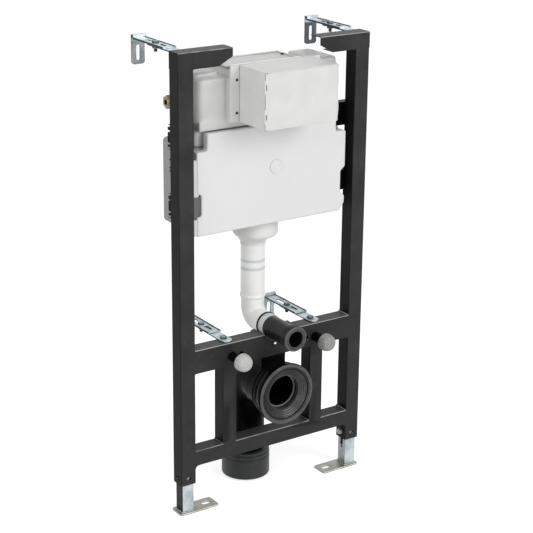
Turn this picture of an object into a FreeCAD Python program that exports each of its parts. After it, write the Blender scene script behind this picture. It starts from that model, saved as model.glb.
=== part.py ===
import FreeCAD, Part
import os
import Sketcher
from FreeCAD import Placement, Rotation, Vector

# Wall hung toilet frame: a black steel frame with a concealed cistern, its flush pipe and soil bend.
# Drawn with x = 0 on the centre line, y = 0 on the front face of the frame and z = 0 on the floor,
# then moved so that the origin lies on the wall face of the upper left wall bracket.

doc = FreeCAD.newDocument("toilet_frame")
sheet = doc.addObject("Spreadsheet::Sheet", "Sizes")

# Driving dimensions in millimetres
dimensions = {
    # steel frame
    "frame_width": 500, "post_width": 38, "post_depth": 38, "tube_wall": 2, "tube_corner": 2.5,
    "post_bottom": 75, "frame_height": 1075,
    "arm_height": 38, "arm_reach": 135.5, "arm_wall": 2, "arm_tip_edge": 19, "arm_tip_run": 35.5,
    "mid_rail_bottom": 344.5, "mid_rail_height": 57,
    "lower_rail_bottom": 117, "lower_rail_height": 38,
    "mullion_offset": 120.5, "mullion_width": 37,
    # telescopic legs
    "leg_size": 30, "leg_wall": 2, "leg_corner": 2, "leg_length": 300,
    "leg_hole_size": 6, "leg_hole_height": 50,
    "foot_reach": 3, "foot_length": 103, "foot_front": -1.5, "foot_back": 43, "foot_thickness": 4.5,
    "foot_corner": 6, "foot_slot_inset": 22.5, "foot_slot_depth": 23, "foot_slot_width": 13,
    "foot_slot_length": 25, "post_hole_size": 10, "post_hole_height": 90,
    "clamp_height": 92, "clamp_washer_size": 16, "clamp_washer_thickness": 1.5, "clamp_gap": 0.3,
    # wall brackets
    "wall_depth": 206, "bracket_width": 33, "bracket_sheet": 2.5,
    "bracket_start": 66, "bracket_hook": 10, "bracket_rise": 9.5, "bracket_drop": 67,
    "bracket_lip": 7, "plate_corner": 7, "plate_slot_width": 9, "plate_slot_length": 34,
    "plate_slot_top": 24, "front_slot_start": 83, "front_slot_end": 110, "rear_slot_start": 117,
    "rear_slot_end": 168, "bracket_slot_width": 9,
    "strip_width": 28, "strip_thickness": 3, "strip_front": 4, "strip_back": 138,
    "strip_bolt_depth": 28, "clamp_bolt_depth": 126,
    "bolt_size": 8, "bolt_hole_size": 8.6, "bolt_flats": 13, "bolt_head_height": 5.3,
    "nut_height": 6.5, "clamp_bolt_tail": 14, "rail_bolt_length": 20, "arm_stud_length": 15,
    # pan fixing
    "wide_pan_spacing": 230, "narrow_pan_spacing": 180, "stud_height": 368.5, "stud_size": 12,
    "stud_front": 50, "stud_back": 75, "pan_hole_size": 13, "stud_nut_flats": 19,
    "stud_nut_height": 10,
    "stud_clearance": 0.3, "sleeve_size": 22, "sleeve_length": 40, "cap_size": 41, "cap_length": 24,
    "cap_rounding": 11.5,
    # concealed cistern
    "jacket_clearance": 13, "tank_inset": 9, "tank_front": 38, "tank_back": 150, "tank_clearance": 18,
    "tank_height": 162, "tank_corner": 12, "tank_edge": 6, "groove_inner": 101, "groove_width": 25,
    "groove_depth": 13, "groove_slope": 5, "neck_half_width": 110, "neck_rise": 50,
    "bulge_width": 62, "bulge_front": 25, "bulge_corner": 18, "bulge_rise": 52, "bulge_drop": 10,
    "bulge_edge": 12, "ledge_inset": 5, "ledge_front": 22, "ledge_rise": 36,
    "ledge_height": 22, "lid_half_width": 97, "lid_front": 46, "lid_back": 144, "lid_height": 4,
    "lid_corner": 8, "lid_rim": 5, "lid_recess": 2,
    "jacket_back": 166, "jacket_height": 195, "jacket_corner": 14, "jacket_edge": 10,
    "panel_front": 11, "panel_back": 30, "panel_shoulder_drop": 5, "panel_rise": 33,
    "panel_shoulder_width": 28, "panel_notch_depth": 12, "panel_notch_height": 50,
    "panel_notch_slope": 10, "panel_lobe_width": 13, "panel_lobe_height": 19, "panel_corner": 5,
    "panel_edge": 4, "ring_offset": 9, "ring_rise": 132, "ring_size": 28, "ring_width": 2.5,
    "ring_proud": 0.8,
    "flange_half_width": 117, "flange_front": 5, "flange_thickness": 5, "flange_height": 125,
    "flange_clearance": 3, "flange_corner": 3, "box_half_width": 94, "box_front": -94.5,
    "box_wall": 2.5, "cover_thickness": 2.5, "tab_height": 11, "tab_proud": 1.6, "tab_depth": 9,
    "low_tab_rise": 32, "high_tab_drop": 31, "screw_offset": 101, "low_screw_rise": 20.5,
    "high_screw_drop": 32, "screw_size": 6, "screw_proud": 1.2,
    "low_clip_rise": 68, "high_clip_rise": 27, "clip_height": 54, "clip_thickness": 22, "clip_inset": 2,
    "tooth_depth": 6, "tooth_height": 5, "tongue_back": 30, "tongue_thickness": 6,
    "tongue_arm": 7, "tongue_clearance": 1.6,
    "inlet_depth": 112, "inlet_drop": 73, "inlet_thread_size": 19, "inlet_thread_length": 32,
    "inlet_nut_flats": 27, "inlet_nut_height": 9, "inlet_nut_offset": 22, "inlet_bore_size": 12,
    # flush line
    "flush_depth": 92.5, "flush_height": 413.7, "flush_pipe_size": 57, "flush_pipe_wall": 3,
    "flush_pipe_drop": 68, "flush_pipe_bottom": 472, "flush_bend_radius": 30, "funnel_size": 106,
    "funnel_offset": 6, "funnel_drop": 50, "funnel_rounding": 13, "funnel_neck_size": 76,
    "funnel_collar_height": 5, "funnel_collar_size": 60, "coupling_size": 60.5,
    "coupling_height": 9, "elbow_size": 55, "elbow_front": 34, "elbow_seal_size": 57,
    "elbow_seal_width": 4, "connector_ring_size": 54, "connector_back": 12, "connector_size": 50,
    "connector_mouth_size": 60, "connector_front": -88, "connector_bore_size": 38,
    "connector_lip": 14, "inner_lip_size": 47, "inner_lip_proud": 2, "rib_size": 54,
    "rib_width": 3, "rib_step": 6, "notch_clearance": 0.5,
    "saddle_clearance": 0.3, "saddle_front": -4, "saddle_back": 11, "saddle_tab_width": 22,
    "saddle_tab_bottom": 366, "saddle_tab_thickness": 2.5, "saddle_screw_height": 376.7,
    "saddle_screw_size": 7, "saddle_screw_proud": 1.5,
    # soil line
    "soil_height": 267, "seal_front": -54, "seal_lip_back": -45, "seal_face_back": -42,
    "seal_back": -30, "seal_size": 147, "seal_lip_width": 8.5, "seal_neck_inset": 2.5,
    "seal_rounding": 3, "seal_lip_depth": 4, "soil_bore_size": 82, "shell_size": 137,
    "shell_step_front": -20, "shell_step_size": 133, "shell_groove_front": -14, "shell_groove_back": -9,
    "shell_groove_size": 120, "clamp_ring_size": 130, "shell_back": -4, "socket_size": 120,
    "socket_back": 30, "spigot_size": 110, "spigot_back": 55, "bead_size": 116, "bead_width": 7,
    "soil_pipe_wall": 4, "soil_bend_radius": 64, "outlet_size": 110, "outlet_wall": 4,
    "outlet_bottom": 3, "outlet_ring_bottom": 55, "outlet_ring_top": 70, "outlet_ring_size": 116,
    "bend_clip_half_width": 33, "bend_clip_front": 2, "bend_clip_back": 24, "bend_clip_bottom": 310,
    "bend_clip_clearance": 0.3,
}
seal_steps = 5
tooth_heights = (-0.45, -0.27, 0.24, 0.45)


class Size:
    """A length that follows the sheet: its value now, and its formula."""

    def __init__(self, value, text):
        self.value = float(value)
        self.text = text

    def __add__(self, other):
        other = size(other)
        return Size(self.value + other.value, "(%s + %s)" % (self.text, other.text))

    def __sub__(self, other):
        other = size(other)
        return Size(self.value - other.value, "(%s - %s)" % (self.text, other.text))

    def __mul__(self, other):
        other = size(other)
        return Size(self.value * other.value, "(%s * %s)" % (self.text, other.text))

    def __truediv__(self, other):
        other = size(other)
        return Size(self.value / other.value, "(%s / %s)" % (self.text, other.text))

    def __radd__(self, other):
        return size(other) + self

    def __rsub__(self, other):
        return size(other) - self

    def __rmul__(self, other):
        return size(other) * self

    def __neg__(self):
        return size(-1) * self


def size(number):
    """Turn a plain number into a Size."""
    if isinstance(number, Size):
        return number
    return Size(number, "(%r)" % float(number))


class Dimensions:
    """The named cells of the sheet, as Sizes."""


d = Dimensions()
for row, (word, number) in enumerate(dimensions.items(), start=1):
    sheet.set("A%d" % row, word)
    sheet.set("B%d" % row, str(number))
    sheet.setAlias("B%d" % row, word)
    setattr(d, word, Size(number, "Sizes." + word))
doc.recompute()

# Sizes that follow from the driving dimensions
half_width = d.frame_width / 2
post_inner = half_width - d.post_width
post_centre = half_width - d.post_width / 2
post_middle = d.post_depth / 2
arm_bottom = d.frame_height - d.arm_height
mid_rail_top = d.mid_rail_bottom + d.mid_rail_height
lower_rail_top = d.lower_rail_bottom + d.lower_rail_height
foot_outer = half_width + d.foot_reach
foot_inner = foot_outer - d.foot_length
strip_centre = {"upper": post_centre, "lower": d.mullion_offset}
strip_bottom = {"upper": d.frame_height - d.arm_wall - d.strip_thickness, "lower": mid_rail_top}
plate_solid_height = d.frame_height - d.arm_wall + d.bracket_rise - d.plate_slot_top / 2
stud_offset = d.wide_pan_spacing / 2
notch_size = d.elbow_seal_size + 2 * d.notch_clearance
jacket_half_width = post_inner - d.jacket_clearance
tank_half_width = jacket_half_width - d.tank_inset
tank_top = arm_bottom - d.tank_clearance
tank_bottom = tank_top - d.tank_height
jacket_bottom = tank_bottom - d.jacket_height
flange_back = d.flange_front + d.flange_thickness
flange_top = arm_bottom - d.flange_clearance
flange_bottom = flange_top - d.flange_height
clip_heights = {"low": jacket_bottom + d.low_clip_rise, "high": tank_bottom + d.high_clip_rise}
clip_inner = {"low": jacket_half_width, "high": tank_half_width}
notch_bottom = clip_heights["low"] + d.clip_height / 2 - d.panel_notch_height
flush_pipe_top = jacket_bottom - d.flush_pipe_drop
soil_pipe_size = d.soil_bore_size + 2 * d.soil_pipe_wall
soil_drop_depth = d.spigot_back + d.soil_bend_radius
soil_drop_top = d.soil_height - d.soil_bend_radius
sides = {"left": -1, "right": 1}

nodes = []


def bind(item, name, length):
    """Let a property follow a formula of the sheet."""
    item.setExpression(name, size(length).text)


def node(item, label, at=(0, 0, 0)):
    """Name a finished piece and move it so that the origin lies on the wall face of a bracket."""
    item.Label = label
    bind(item, "Placement.Base.x", at[0] + post_centre)
    bind(item, "Placement.Base.y", at[1] - d.wall_depth)
    bind(item, "Placement.Base.z", at[2] - plate_solid_height)
    nodes.append(item)
    return item


def span(side, inner, outer):
    """The low and the high x of a stretch between two offsets on one side."""
    if side > 0:
        return size(inner), size(outer)
    return -size(outer), -size(inner)


# Solids, tools and sketches that the pieces share
turns = {"x": Rotation(Vector(0, 1, 0), 90), "y": Rotation(Vector(1, 0, 0), -90), "z": Rotation()}


def place(item, axis, start):
    """Stand a primitive on a point, along an axis."""
    item.Placement = Placement(Vector(), turns[axis])
    for letter, along in zip("xyz", start):
        bind(item, "Placement.Base." + letter, along)
    return item


def box(name, low, high):
    """A block between two corners."""
    item = doc.addObject("Part::Box", name)
    for measure, start, end in zip(("Length", "Width", "Height"), low, high):
        bind(item, measure, size(end) - start)
    return place(item, "z", low)


def rod(name, axis, start, length, diameter):
    """A round bar from the middle of its first end."""
    item = doc.addObject("Part::Cylinder", name)
    bind(item, "Radius", size(diameter) / 2)
    bind(item, "Height", length)
    return place(item, axis, start)


def hexagon(name, axis, start, length, flats):
    """A six sided head or nut from the middle of its first end."""
    item = doc.addObject("Part::Prism", name)
    item.Polygon = 6
    bind(item, "Circumradius", size(flats) / 3 ** 0.5)
    bind(item, "Height", length)
    return place(item, axis, start)


def fuse(name, *parts):
    """Several solids as one."""
    item = doc.addObject("Part::MultiFuse", name)
    item.Shapes = list(parts)
    item.Refine = True
    return item


def cut(name, base, *tools):
    """A solid with others taken out of it."""
    item = doc.addObject("Part::Cut", name)
    item.Base = base
    item.Tool = tools[0] if len(tools) == 1 else fuse(name + "_tools", *tools)
    item.Refine = True
    return item


def group(name, *parts):
    """Separate solids that share a node."""
    item = doc.addObject("Part::Compound", name)
    item.Links = list(parts)
    return item


def slot(name, axis, along, start, end, depth, width):
    """A tool for a round ended slot, from the middles of its two end circles."""
    low = []
    high = []
    for letter, first, last in zip("xyz", start, end):
        half = size(0) if letter in (axis, along) else width / 2
        low.append(first - half)
        high.append(first + depth if letter == axis else last + half)
    return fuse(name, box(name + "_middle", low, high), rod(name + "_start", axis, start, depth, width),
                rod(name + "_end", axis, end, depth, width))


def quarter_bend(name, centre, bend_radius, diameter, rotation):
    """A quarter of a ring in the plane of y and z."""
    item = doc.addObject("Part::Torus", name)
    bind(item, "Radius1", bend_radius)
    bind(item, "Radius2", size(diameter) / 2)
    item.Angle3 = 90
    item.Placement = Placement(Vector(), rotation)
    for letter, along in zip("xyz", centre):
        bind(item, "Placement.Base." + letter, along)
    return item


def body(name):
    return doc.addObject("PartDesign::Body", name)


def sketch(piece, name, role, offset=0):
    """An empty sketch on an origin plane of its body, moved along the plane's normal."""
    item = piece.newObject("Sketcher::SketchObject", name)
    plane = [feature for feature in piece.Origin.OriginFeatures if feature.Role == role][0]
    item.AttachmentSupport = [(plane, "")]
    item.MapMode = "FlatFace"
    bind(item, "AttachmentOffset.Base.z", offset)
    return item


def outline(item, points):
    """A closed line through points that follow the sheet."""
    places = [Vector(size(across).value, size(up).value, 0) for across, up in points]
    following = places[1:] + places[:1]
    lines = [item.addGeometry(Part.LineSegment(start, end), False) for start, end in zip(places, following)]
    for line, after in zip(lines, lines[1:] + lines[:1]):
        item.addConstraint(Sketcher.Constraint("Coincident", line, 2, after, 1))
    for line, point in zip(lines, points):
        for kind, length in zip(("DistanceX", "DistanceY"), point):
            constraint = Sketcher.Constraint(kind, -1, 1, line, 1, size(length).value)
            item.setExpression("Constraints[%d]" % item.addConstraint(constraint), size(length).text)
    return item


def rectangle(item, low, high):
    return outline(item, [low, (high[0], low[1]), high, (low[0], high[1])])


def circle(item, centre, diameter):
    """A circle whose middle and radius follow the sheet."""
    across, up = size(centre[0]), size(centre[1])
    radius = size(diameter) / 2
    round_line = Part.Circle(Vector(across.value, up.value, 0), Vector(0, 0, 1), radius.value)
    edge = item.addGeometry(round_line, False)
    for constraint, length in ((Sketcher.Constraint("DistanceX", -1, 1, edge, 3, across.value), across),
                               (Sketcher.Constraint("DistanceY", -1, 1, edge, 3, up.value), up),
                               (Sketcher.Constraint("Radius", edge, radius.value), radius)):
        item.setExpression("Constraints[%d]" % item.addConstraint(constraint), length.text)
    return item


def pad(piece, profile, length):
    """Thicken a sketch along its normal."""
    item = piece.newObject("PartDesign::Pad", profile.Name + "_pad")
    item.Profile = profile
    bind(item, "Length", length)
    piece.Tip = item
    return item


def pocket(piece, profile, length, along_normal=True):
    """Cut a sketch out of a body, along its normal or against it."""
    item = piece.newObject("PartDesign::Pocket", profile.Name + "_pocket")
    item.Profile = profile
    item.Reversed = along_normal
    bind(item, "Length", length)
    piece.Tip = item
    return item


def turned(name, role, axis, points):
    """A piece turned once round an axis of its sketch."""
    piece = body(name)
    profile = outline(sketch(piece, name + "_profile", role), points)
    item = piece.newObject("PartDesign::Revolution", name + "_turned")
    item.Profile = profile
    item.ReferenceAxis = (profile, [axis])
    item.Angle = 360
    piece.Tip = item
    return piece


def turned_along_y(name, points):
    """A turned piece from (y, radius) points."""
    return turned(name, "YZ_Plane", "H_Axis", points)


def turned_along_z(name, points):
    """A turned piece from (radius, z) points."""
    return turned(name, "XZ_Plane", "V_Axis", points)


def round_edges(piece, name, radius, wanted):
    """Round those edges of the body's last feature that a test picks."""
    doc.recompute()
    last = piece.Tip
    picked = ["Edge%d" % number for number, edge in enumerate(last.Shape.Edges, start=1) if wanted(edge)]
    item = piece.newObject("PartDesign::Fillet", name)
    item.Base = (last, picked)
    bind(item, "Radius", radius)
    piece.Tip = item
    return item


def runs_along(edge, axis):
    """Whether an edge is straight along an axis."""
    ends = [vertex.Point for vertex in edge.Vertexes]
    if len(ends) != 2 or abs(edge.Length - ends[0].distanceToPoint(ends[1])) > 1e-6:
        return False
    return abs(abs(getattr(ends[1] - ends[0], axis)) - edge.Length) < 1e-6


def lies_at(edge, axis, length):
    """Whether all of an edge lies at one height along an axis."""
    bounds = edge.BoundBox
    low = getattr(bounds, axis.upper() + "Min")
    high = getattr(bounds, axis.upper() + "Max")
    return abs(low - size(length).value) < 1e-4 and abs(high - size(length).value) < 1e-4


def tube(name, axis, start, length, low, high, wall, corner):
    """A rectangular tube along x or z, open at both ends, with rounded corners."""
    role = {"x": "YZ_Plane", "z": "XY_Plane"}[axis]
    piece = body(name + "_tube")
    section = rectangle(sketch(piece, name + "_section", role, start), low, high)
    pad(piece, section, length)
    round_edges(piece, name + "_corners", corner, lambda edge: runs_along(edge, axis))
    inner_low = [edge + wall for edge in low]
    inner_high = [edge - wall for edge in high]
    bore = rectangle(sketch(piece, name + "_bore", role, start), inner_low, inner_high)
    pocket(piece, bore, length)
    return piece


# Posts: square steel tube, open below for the legs, with the holes of the leg screws
def post(name, side):
    low, high = span(side, post_inner, half_width)
    piece = tube(name, "z", d.post_bottom, arm_bottom - d.post_bottom, (low, size(0)),
                 (high, d.post_depth), d.tube_wall, d.tube_corner)
    outer_wall = half_width - d.tube_wall if side > 0 else -half_width
    inner_wall = post_inner if side > 0 else -post_inner - d.tube_wall
    holes = [rod(name + "_front_hole", "y", (side * post_centre, 0, d.post_hole_height),
                 d.tube_wall, d.post_hole_size),
             rod(name + "_side_hole", "x", (outer_wall, post_middle, d.post_hole_height),
                 d.tube_wall, d.post_hole_size),
             rod(name + "_clamp_hole", "x", (inner_wall, post_middle, d.clamp_height),
                 d.tube_wall, d.bolt_hole_size)]
    node(cut(name + "_holed", piece, *holes), name)


# Arms: sheet folded to a channel that is open at the back, with a sloped end towards the middle
def arm(name, side):
    piece = body(name + "_channel")
    low, high = span(side, half_width - d.arm_reach, half_width)
    wall = d.arm_wall
    back = d.post_depth
    top = d.frame_height
    section = sketch(piece, name + "_section", "YZ_Plane", low)
    outline(section, [(0, arm_bottom), (back, arm_bottom), (back, arm_bottom + wall),
                      (wall, arm_bottom + wall), (wall, top - wall), (back, top - wall),
                      (back, top), (0, top)])
    pad(piece, section, d.arm_reach)
    end_plate = sketch(piece, name + "_end", "YZ_Plane", high - wall if side > 0 else low)
    rectangle(end_plate, (size(0), arm_bottom), (back, top))
    pad(piece, end_plate, wall)
    round_edges(piece, name + "_bends", d.tube_corner, lambda edge: runs_along(edge, "x")
                and lies_at(edge, "y", 0))
    tip = side * (half_width - d.arm_reach)
    heel = side * (half_width - d.arm_reach + d.arm_tip_run)
    slope = sketch(piece, name + "_slope", "XZ_Plane")
    outline(slope, [(tip, top - d.arm_tip_edge), (heel, arm_bottom), (tip, arm_bottom)])
    pocket(piece, slope, d.post_depth, along_normal=False)
    node(piece, name)


# Mid rail: rectangular tube with fixing holes for the pan and a round notch for the flush connector
def mid_rail():
    piece = tube("mid_rail", "x", -post_inner, 2 * post_inner, (size(0), d.mid_rail_bottom),
                 (d.post_depth, mid_rail_top), d.tube_wall, d.tube_corner)
    openings = [rod("connector_notch", "y", (0, 0, d.flush_height), d.post_depth, notch_size)]
    for side_name, side in sides.items():
        for word, offset in (("stud", stud_offset), ("spare", d.narrow_pan_spacing / 2)):
            openings.append(rod("%s_%s_hole" % (side_name, word), "y", (side * offset, 0, d.stud_height),
                                d.post_depth, d.pan_hole_size))
        openings.append(rod(side_name + "_rail_bolt_hole", "z",
                            (side * d.mullion_offset, d.strip_bolt_depth, mid_rail_top - d.tube_wall),
                            d.tube_wall, d.bolt_hole_size))
    node(cut("mid_rail_holed", piece, *openings), "mid_rail")


# Lower rail and mullions: square steel tube between the posts and under the mid rail
def lower_rail():
    piece = tube("lower_rail", "x", -post_inner, 2 * post_inner, (size(0), d.lower_rail_bottom),
                 (d.post_depth, lower_rail_top), d.tube_wall, d.tube_corner)
    node(piece, "lower_rail")


def mullion(name, side):
    low, high = span(side, d.mullion_offset - d.mullion_width / 2, d.mullion_offset + d.mullion_width / 2)
    piece = tube(name, "z", lower_rail_top, d.mid_rail_bottom - lower_rail_top, (low, size(0)),
                 (high, d.post_depth), d.tube_wall, d.tube_corner)
    node(piece, name)


# Legs: zinc plated square tube that slides in the post, welded to a slotted foot plate
def leg(name, side):
    half = d.leg_size / 2
    centre = side * post_centre
    piece = tube(name, "z", d.foot_thickness, d.leg_length, (centre - half, post_middle - half),
                 (centre + half, post_middle + half), d.leg_wall, d.leg_corner)
    inner_wall = post_centre - half if side > 0 else -post_centre + half - d.leg_wall
    hole = rod(name + "_hole", "x", (inner_wall, post_middle, d.leg_hole_height), d.leg_wall,
               d.leg_hole_size)
    node(cut(name + "_holed", piece, hole), name)


def foot_plate(name, side):
    piece = body(name + "_plate")
    low, high = span(side, foot_inner, foot_outer)
    profile = sketch(piece, name + "_outline", "XY_Plane")
    rectangle(profile, (low, d.foot_front), (high, d.foot_back))
    pad(piece, profile, d.foot_thickness)
    round_edges(piece, name + "_corners", d.foot_corner, lambda edge: runs_along(edge, "z"))
    reach = (d.foot_slot_length - d.foot_slot_width) / 2
    middle = side * (foot_inner + d.foot_slot_inset)
    opening = slot(name + "_slot", "z", "x", (middle - reach, d.foot_slot_depth, size(0)),
                   (middle + reach, d.foot_slot_depth, size(0)), d.foot_thickness, d.foot_slot_width)
    node(cut(name + "_slotted", piece, opening), name)


# Clamp bolts: each passes through the inner wall of its post and presses on the leg
def leg_clamp(name, side):
    seat = post_inner - d.clamp_washer_thickness
    head_low = span(side, seat - d.bolt_head_height, seat)[0]
    washer_low = span(side, seat, post_inner)[0]
    shank_low = span(side, seat, post_centre - d.leg_size / 2 - d.clamp_gap)[0]
    shank_length = post_centre - d.leg_size / 2 - d.clamp_gap - seat
    y, z = post_middle, d.clamp_height
    head = hexagon(name + "_head", "x", (head_low, y, z), d.bolt_head_height, d.bolt_flats)
    washer = rod(name + "_washer", "x", (washer_low, y, z), d.clamp_washer_thickness, d.clamp_washer_size)
    shank = rod(name + "_shank", "x", (shank_low, y, z), shank_length, d.bolt_size)
    node(fuse(name + "_bolt", head, washer, shank), name)


# Bracket strips: flat bar with a round end, bolted on the mid rail or inside the arm
def bracket_strip(name, level, side):
    x = side * strip_centre[level]
    z = strip_bottom[level]
    half = d.strip_width / 2
    bar = box(name + "_bar", (x - half, d.strip_front + half, z),
              (x + half, d.strip_back, z + d.strip_thickness))
    end = rod(name + "_end", "z", (x, d.strip_front + half, z), d.strip_thickness, d.strip_width)
    holes = [rod(name + word, "z", (x, depth, z), d.strip_thickness, d.bolt_hole_size)
             for word, depth in (("_frame_hole", d.strip_bolt_depth), ("_clamp_hole", d.clamp_bolt_depth))]
    node(cut(name + "_holed", fuse(name + "_flat", bar, end), *holes), name)


# Wall brackets: one folded sheet, a slotted channel that hooks over and down to a slotted wall plate
def wall_bracket(name, level, side):
    x = side * strip_centre[level]
    floor = strip_bottom[level] + d.strip_thickness
    top = floor + d.bracket_rise
    wall = d.wall_depth
    steel = d.bracket_sheet
    hook = wall - d.bracket_hook
    half = d.bracket_width / 2
    piece = body(name + "_folded")
    fold = sketch(piece, name + "_fold", "YZ_Plane", x - half)
    outline(fold, [(d.bracket_start, floor), (hook + steel, floor), (hook + steel, top - steel),
                   (wall - steel, top - steel), (wall - steel, top - d.bracket_drop),
                   (wall, top - d.bracket_drop), (wall, top), (hook, top), (hook, floor + steel),
                   (d.bracket_start, floor + steel)])
    pad(piece, fold, d.bracket_width)
    round_edges(piece, name + "_corners", d.plate_corner, lambda edge: runs_along(edge, "y")
                and lies_at(edge, "z", top - d.bracket_drop))
    for word, low in (("near", x - half), ("far", x + half - steel)):
        lip = sketch(piece, "%s_%s_lip" % (name, word), "YZ_Plane", low)
        rectangle(lip, (d.bracket_start, floor), (hook, floor + d.bracket_lip))
        pad(piece, lip, steel)
    radius = d.bracket_slot_width / 2
    openings = []
    for word, start, end in (("front", d.front_slot_start, d.front_slot_end),
                             ("rear", d.rear_slot_start, d.rear_slot_end)):
        openings.append(slot("%s_%s_slot" % (name, word), "z", "y", (x, start + radius, floor),
                             (x, end - radius, floor), steel, d.bracket_slot_width))
    radius = d.plate_slot_width / 2
    slot_top = top - d.plate_slot_top
    openings.append(slot(name + "_wall_slot", "y", "z",
                         (x, wall - steel, slot_top - d.plate_slot_length + radius),
                         (x, wall - steel, slot_top - radius), steel, d.plate_slot_width))
    node(cut(name + "_slotted", piece, *openings), name)


# Bracket bolts: one clamps the wall bracket on its strip, the other holds the strip to the frame
def bracket_bolts(name, level, side):
    x = side * strip_centre[level]
    strip = strip_bottom[level]
    strip_top = strip + d.strip_thickness
    y = d.clamp_bolt_depth
    seat = strip_top + d.bracket_sheet
    tail = strip - d.clamp_bolt_tail
    clamp = fuse(name + "_clamp",
                 hexagon(name + "_clamp_head", "z", (x, y, seat), d.bolt_head_height, d.bolt_flats),
                 rod(name + "_clamp_shank", "z", (x, y, tail), seat - tail, d.bolt_size),
                 hexagon(name + "_clamp_nut", "z", (x, y, strip - d.nut_height), d.nut_height, d.bolt_flats))
    y = d.strip_bolt_depth
    if level == "lower":
        head = hexagon(name + "_rail_head", "z", (x, y, strip_top), d.bolt_head_height, d.bolt_flats)
        length = d.rail_bolt_length
    else:
        head = hexagon(name + "_arm_nut", "z", (x, y, strip - d.nut_height), d.nut_height, d.bolt_flats)
        length = d.arm_stud_length
    shank = rod(name + "_frame_shank", "z", (x, y, strip_top - length), length, d.bolt_size)
    node(group(name + "_pair", clamp, fuse(name + "_frame", head, shank)), name)


# Pan studs: threaded rod through the mid rail with a nut behind it, a sleeve and a cap in front
def pan_stud(name, side):
    x, z = side * stud_offset, d.stud_height
    bar = rod(name + "_bar", "y", (x, -d.stud_front, z), d.stud_front + d.stud_back, d.stud_size)
    nut = hexagon(name + "_nut", "y", (x, d.post_depth, z), d.stud_nut_height, d.stud_nut_flats)
    node(fuse(name + "_nutted", bar, nut), name)


def stud_sleeve(name, side):
    inner = d.stud_size / 2 + d.stud_clearance
    outer = d.sleeve_size / 2
    piece = turned_along_y(name + "_ring", [(-d.sleeve_length, inner), (0, inner), (0, outer),
                                            (-d.sleeve_length, outer)])
    node(piece, name, (side * stud_offset, 0, d.stud_height))


def stud_cap(name, side):
    inner = d.stud_size / 2 + d.stud_clearance
    outer = d.cap_size / 2
    back = -d.sleeve_length
    front = back - d.cap_length
    blind = -d.stud_front - d.stud_clearance
    piece = turned_along_y(name + "_dome", [(back, inner), (back, outer), (front, outer), (front, 0),
                                            (blind, 0), (blind, inner)])
    round_edges(piece, name + "_nose", d.cap_rounding, lambda edge: lies_at(edge, "y", front))
    node(piece, name, (side * stud_offset, 0, d.stud_height))


# Tank: blow moulded upper tank with two bulges, a ledge, a neck and two grooves across its top
def tank_bulge(name, side):
    low, high = tank_bottom + d.bulge_rise, tank_top - d.bulge_drop
    inside = d.tank_front + d.tank_corner
    near, far = span(side, tank_half_width - d.bulge_width, tank_half_width)
    piece = body(name)
    plan = rectangle(sketch(piece, name + "_plan", "XY_Plane", low), (near, d.bulge_front), (far, inside))
    pad(piece, plan, high - low)
    round_edges(piece, name + "_corners", d.bulge_corner, lambda edge: runs_along(edge, "z")
                and lies_at(edge, "y", d.bulge_front))
    round_edges(piece, name + "_edge", d.bulge_edge, lambda edge: lies_at(edge, "z", high)
                and not lies_at(edge, "y", inside))
    return piece


def tank_groove(name, side):
    """The tool for a groove with sloped sides that runs from front to back."""
    inner, outer = d.groove_inner, d.groove_inner + d.groove_width
    floor = tank_top - d.groove_depth
    piece = body(name)
    section = sketch(piece, name + "_section", "XZ_Plane", -d.tank_back)
    outline(section, [(side * (inner - d.groove_slope), tank_top), (side * inner, floor),
                      (side * outer, floor), (side * (outer + d.groove_slope), tank_top)])
    pad(piece, section, d.tank_back - flange_back)
    return piece


def cistern_tank():
    piece = body("tank_shell")
    half = tank_half_width
    block = rectangle(sketch(piece, "tank_plan", "XY_Plane", tank_bottom), (-half, d.tank_front),
                      (half, d.tank_back))
    pad(piece, block, d.tank_height)
    round_edges(piece, "tank_corners", d.tank_corner, lambda edge: runs_along(edge, "z"))
    round_edges(piece, "tank_top_edge", d.tank_edge, lambda edge: lies_at(edge, "z", tank_top))
    inside = d.tank_front + d.tank_corner
    neck = box("tank_neck", (-d.neck_half_width, flange_back, tank_bottom + d.neck_rise),
               (d.neck_half_width, inside, tank_top - d.tank_edge))
    ledge_low = tank_bottom + d.ledge_rise
    ledge = box("tank_ledge", (d.ledge_inset - half, d.ledge_front, ledge_low),
                (half - d.ledge_inset, inside, ledge_low + d.ledge_height))
    bulges = [tank_bulge(name + "_bulge", side) for name, side in sides.items()]
    grooves = [tank_groove(name + "_groove", side) for name, side in sides.items()]
    whole = fuse("tank_moulding", piece, neck, ledge, *bulges)
    node(cut("tank_grooved", whole, *grooves), "cistern_tank")


def tank_lid():
    piece = body("lid_plate")
    half = d.lid_half_width
    top = tank_top + d.lid_height
    plan = rectangle(sketch(piece, "lid_plan", "XY_Plane", tank_top), (-half, d.lid_front),
                     (half, d.lid_back))
    pad(piece, plan, d.lid_height)
    round_edges(piece, "lid_corners", d.lid_corner, lambda edge: runs_along(edge, "z"))
    rim = d.lid_rim
    recess = rectangle(sketch(piece, "lid_recess", "XY_Plane", top - d.lid_recess),
                       (-half + rim, d.lid_front + rim), (half - rim, d.lid_back - rim))
    pocket(piece, recess, d.lid_recess)
    node(piece, "tank_lid")


# Jacket and panel: foam mouldings that insulate the lower tank
def tank_jacket():
    piece = body("jacket_block")
    half = jacket_half_width
    plan = rectangle(sketch(piece, "jacket_plan", "XY_Plane", jacket_bottom), (-half, d.panel_back),
                     (half, d.jacket_back))
    pad(piece, plan, d.jacket_height)
    round_edges(piece, "jacket_corners", d.jacket_corner, lambda edge: runs_along(edge, "z"))
    round_edges(piece, "jacket_edges", d.jacket_edge, lambda edge: lies_at(edge, "z", jacket_bottom)
                or lies_at(edge, "z", tank_bottom))
    node(piece, "tank_jacket")


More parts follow.
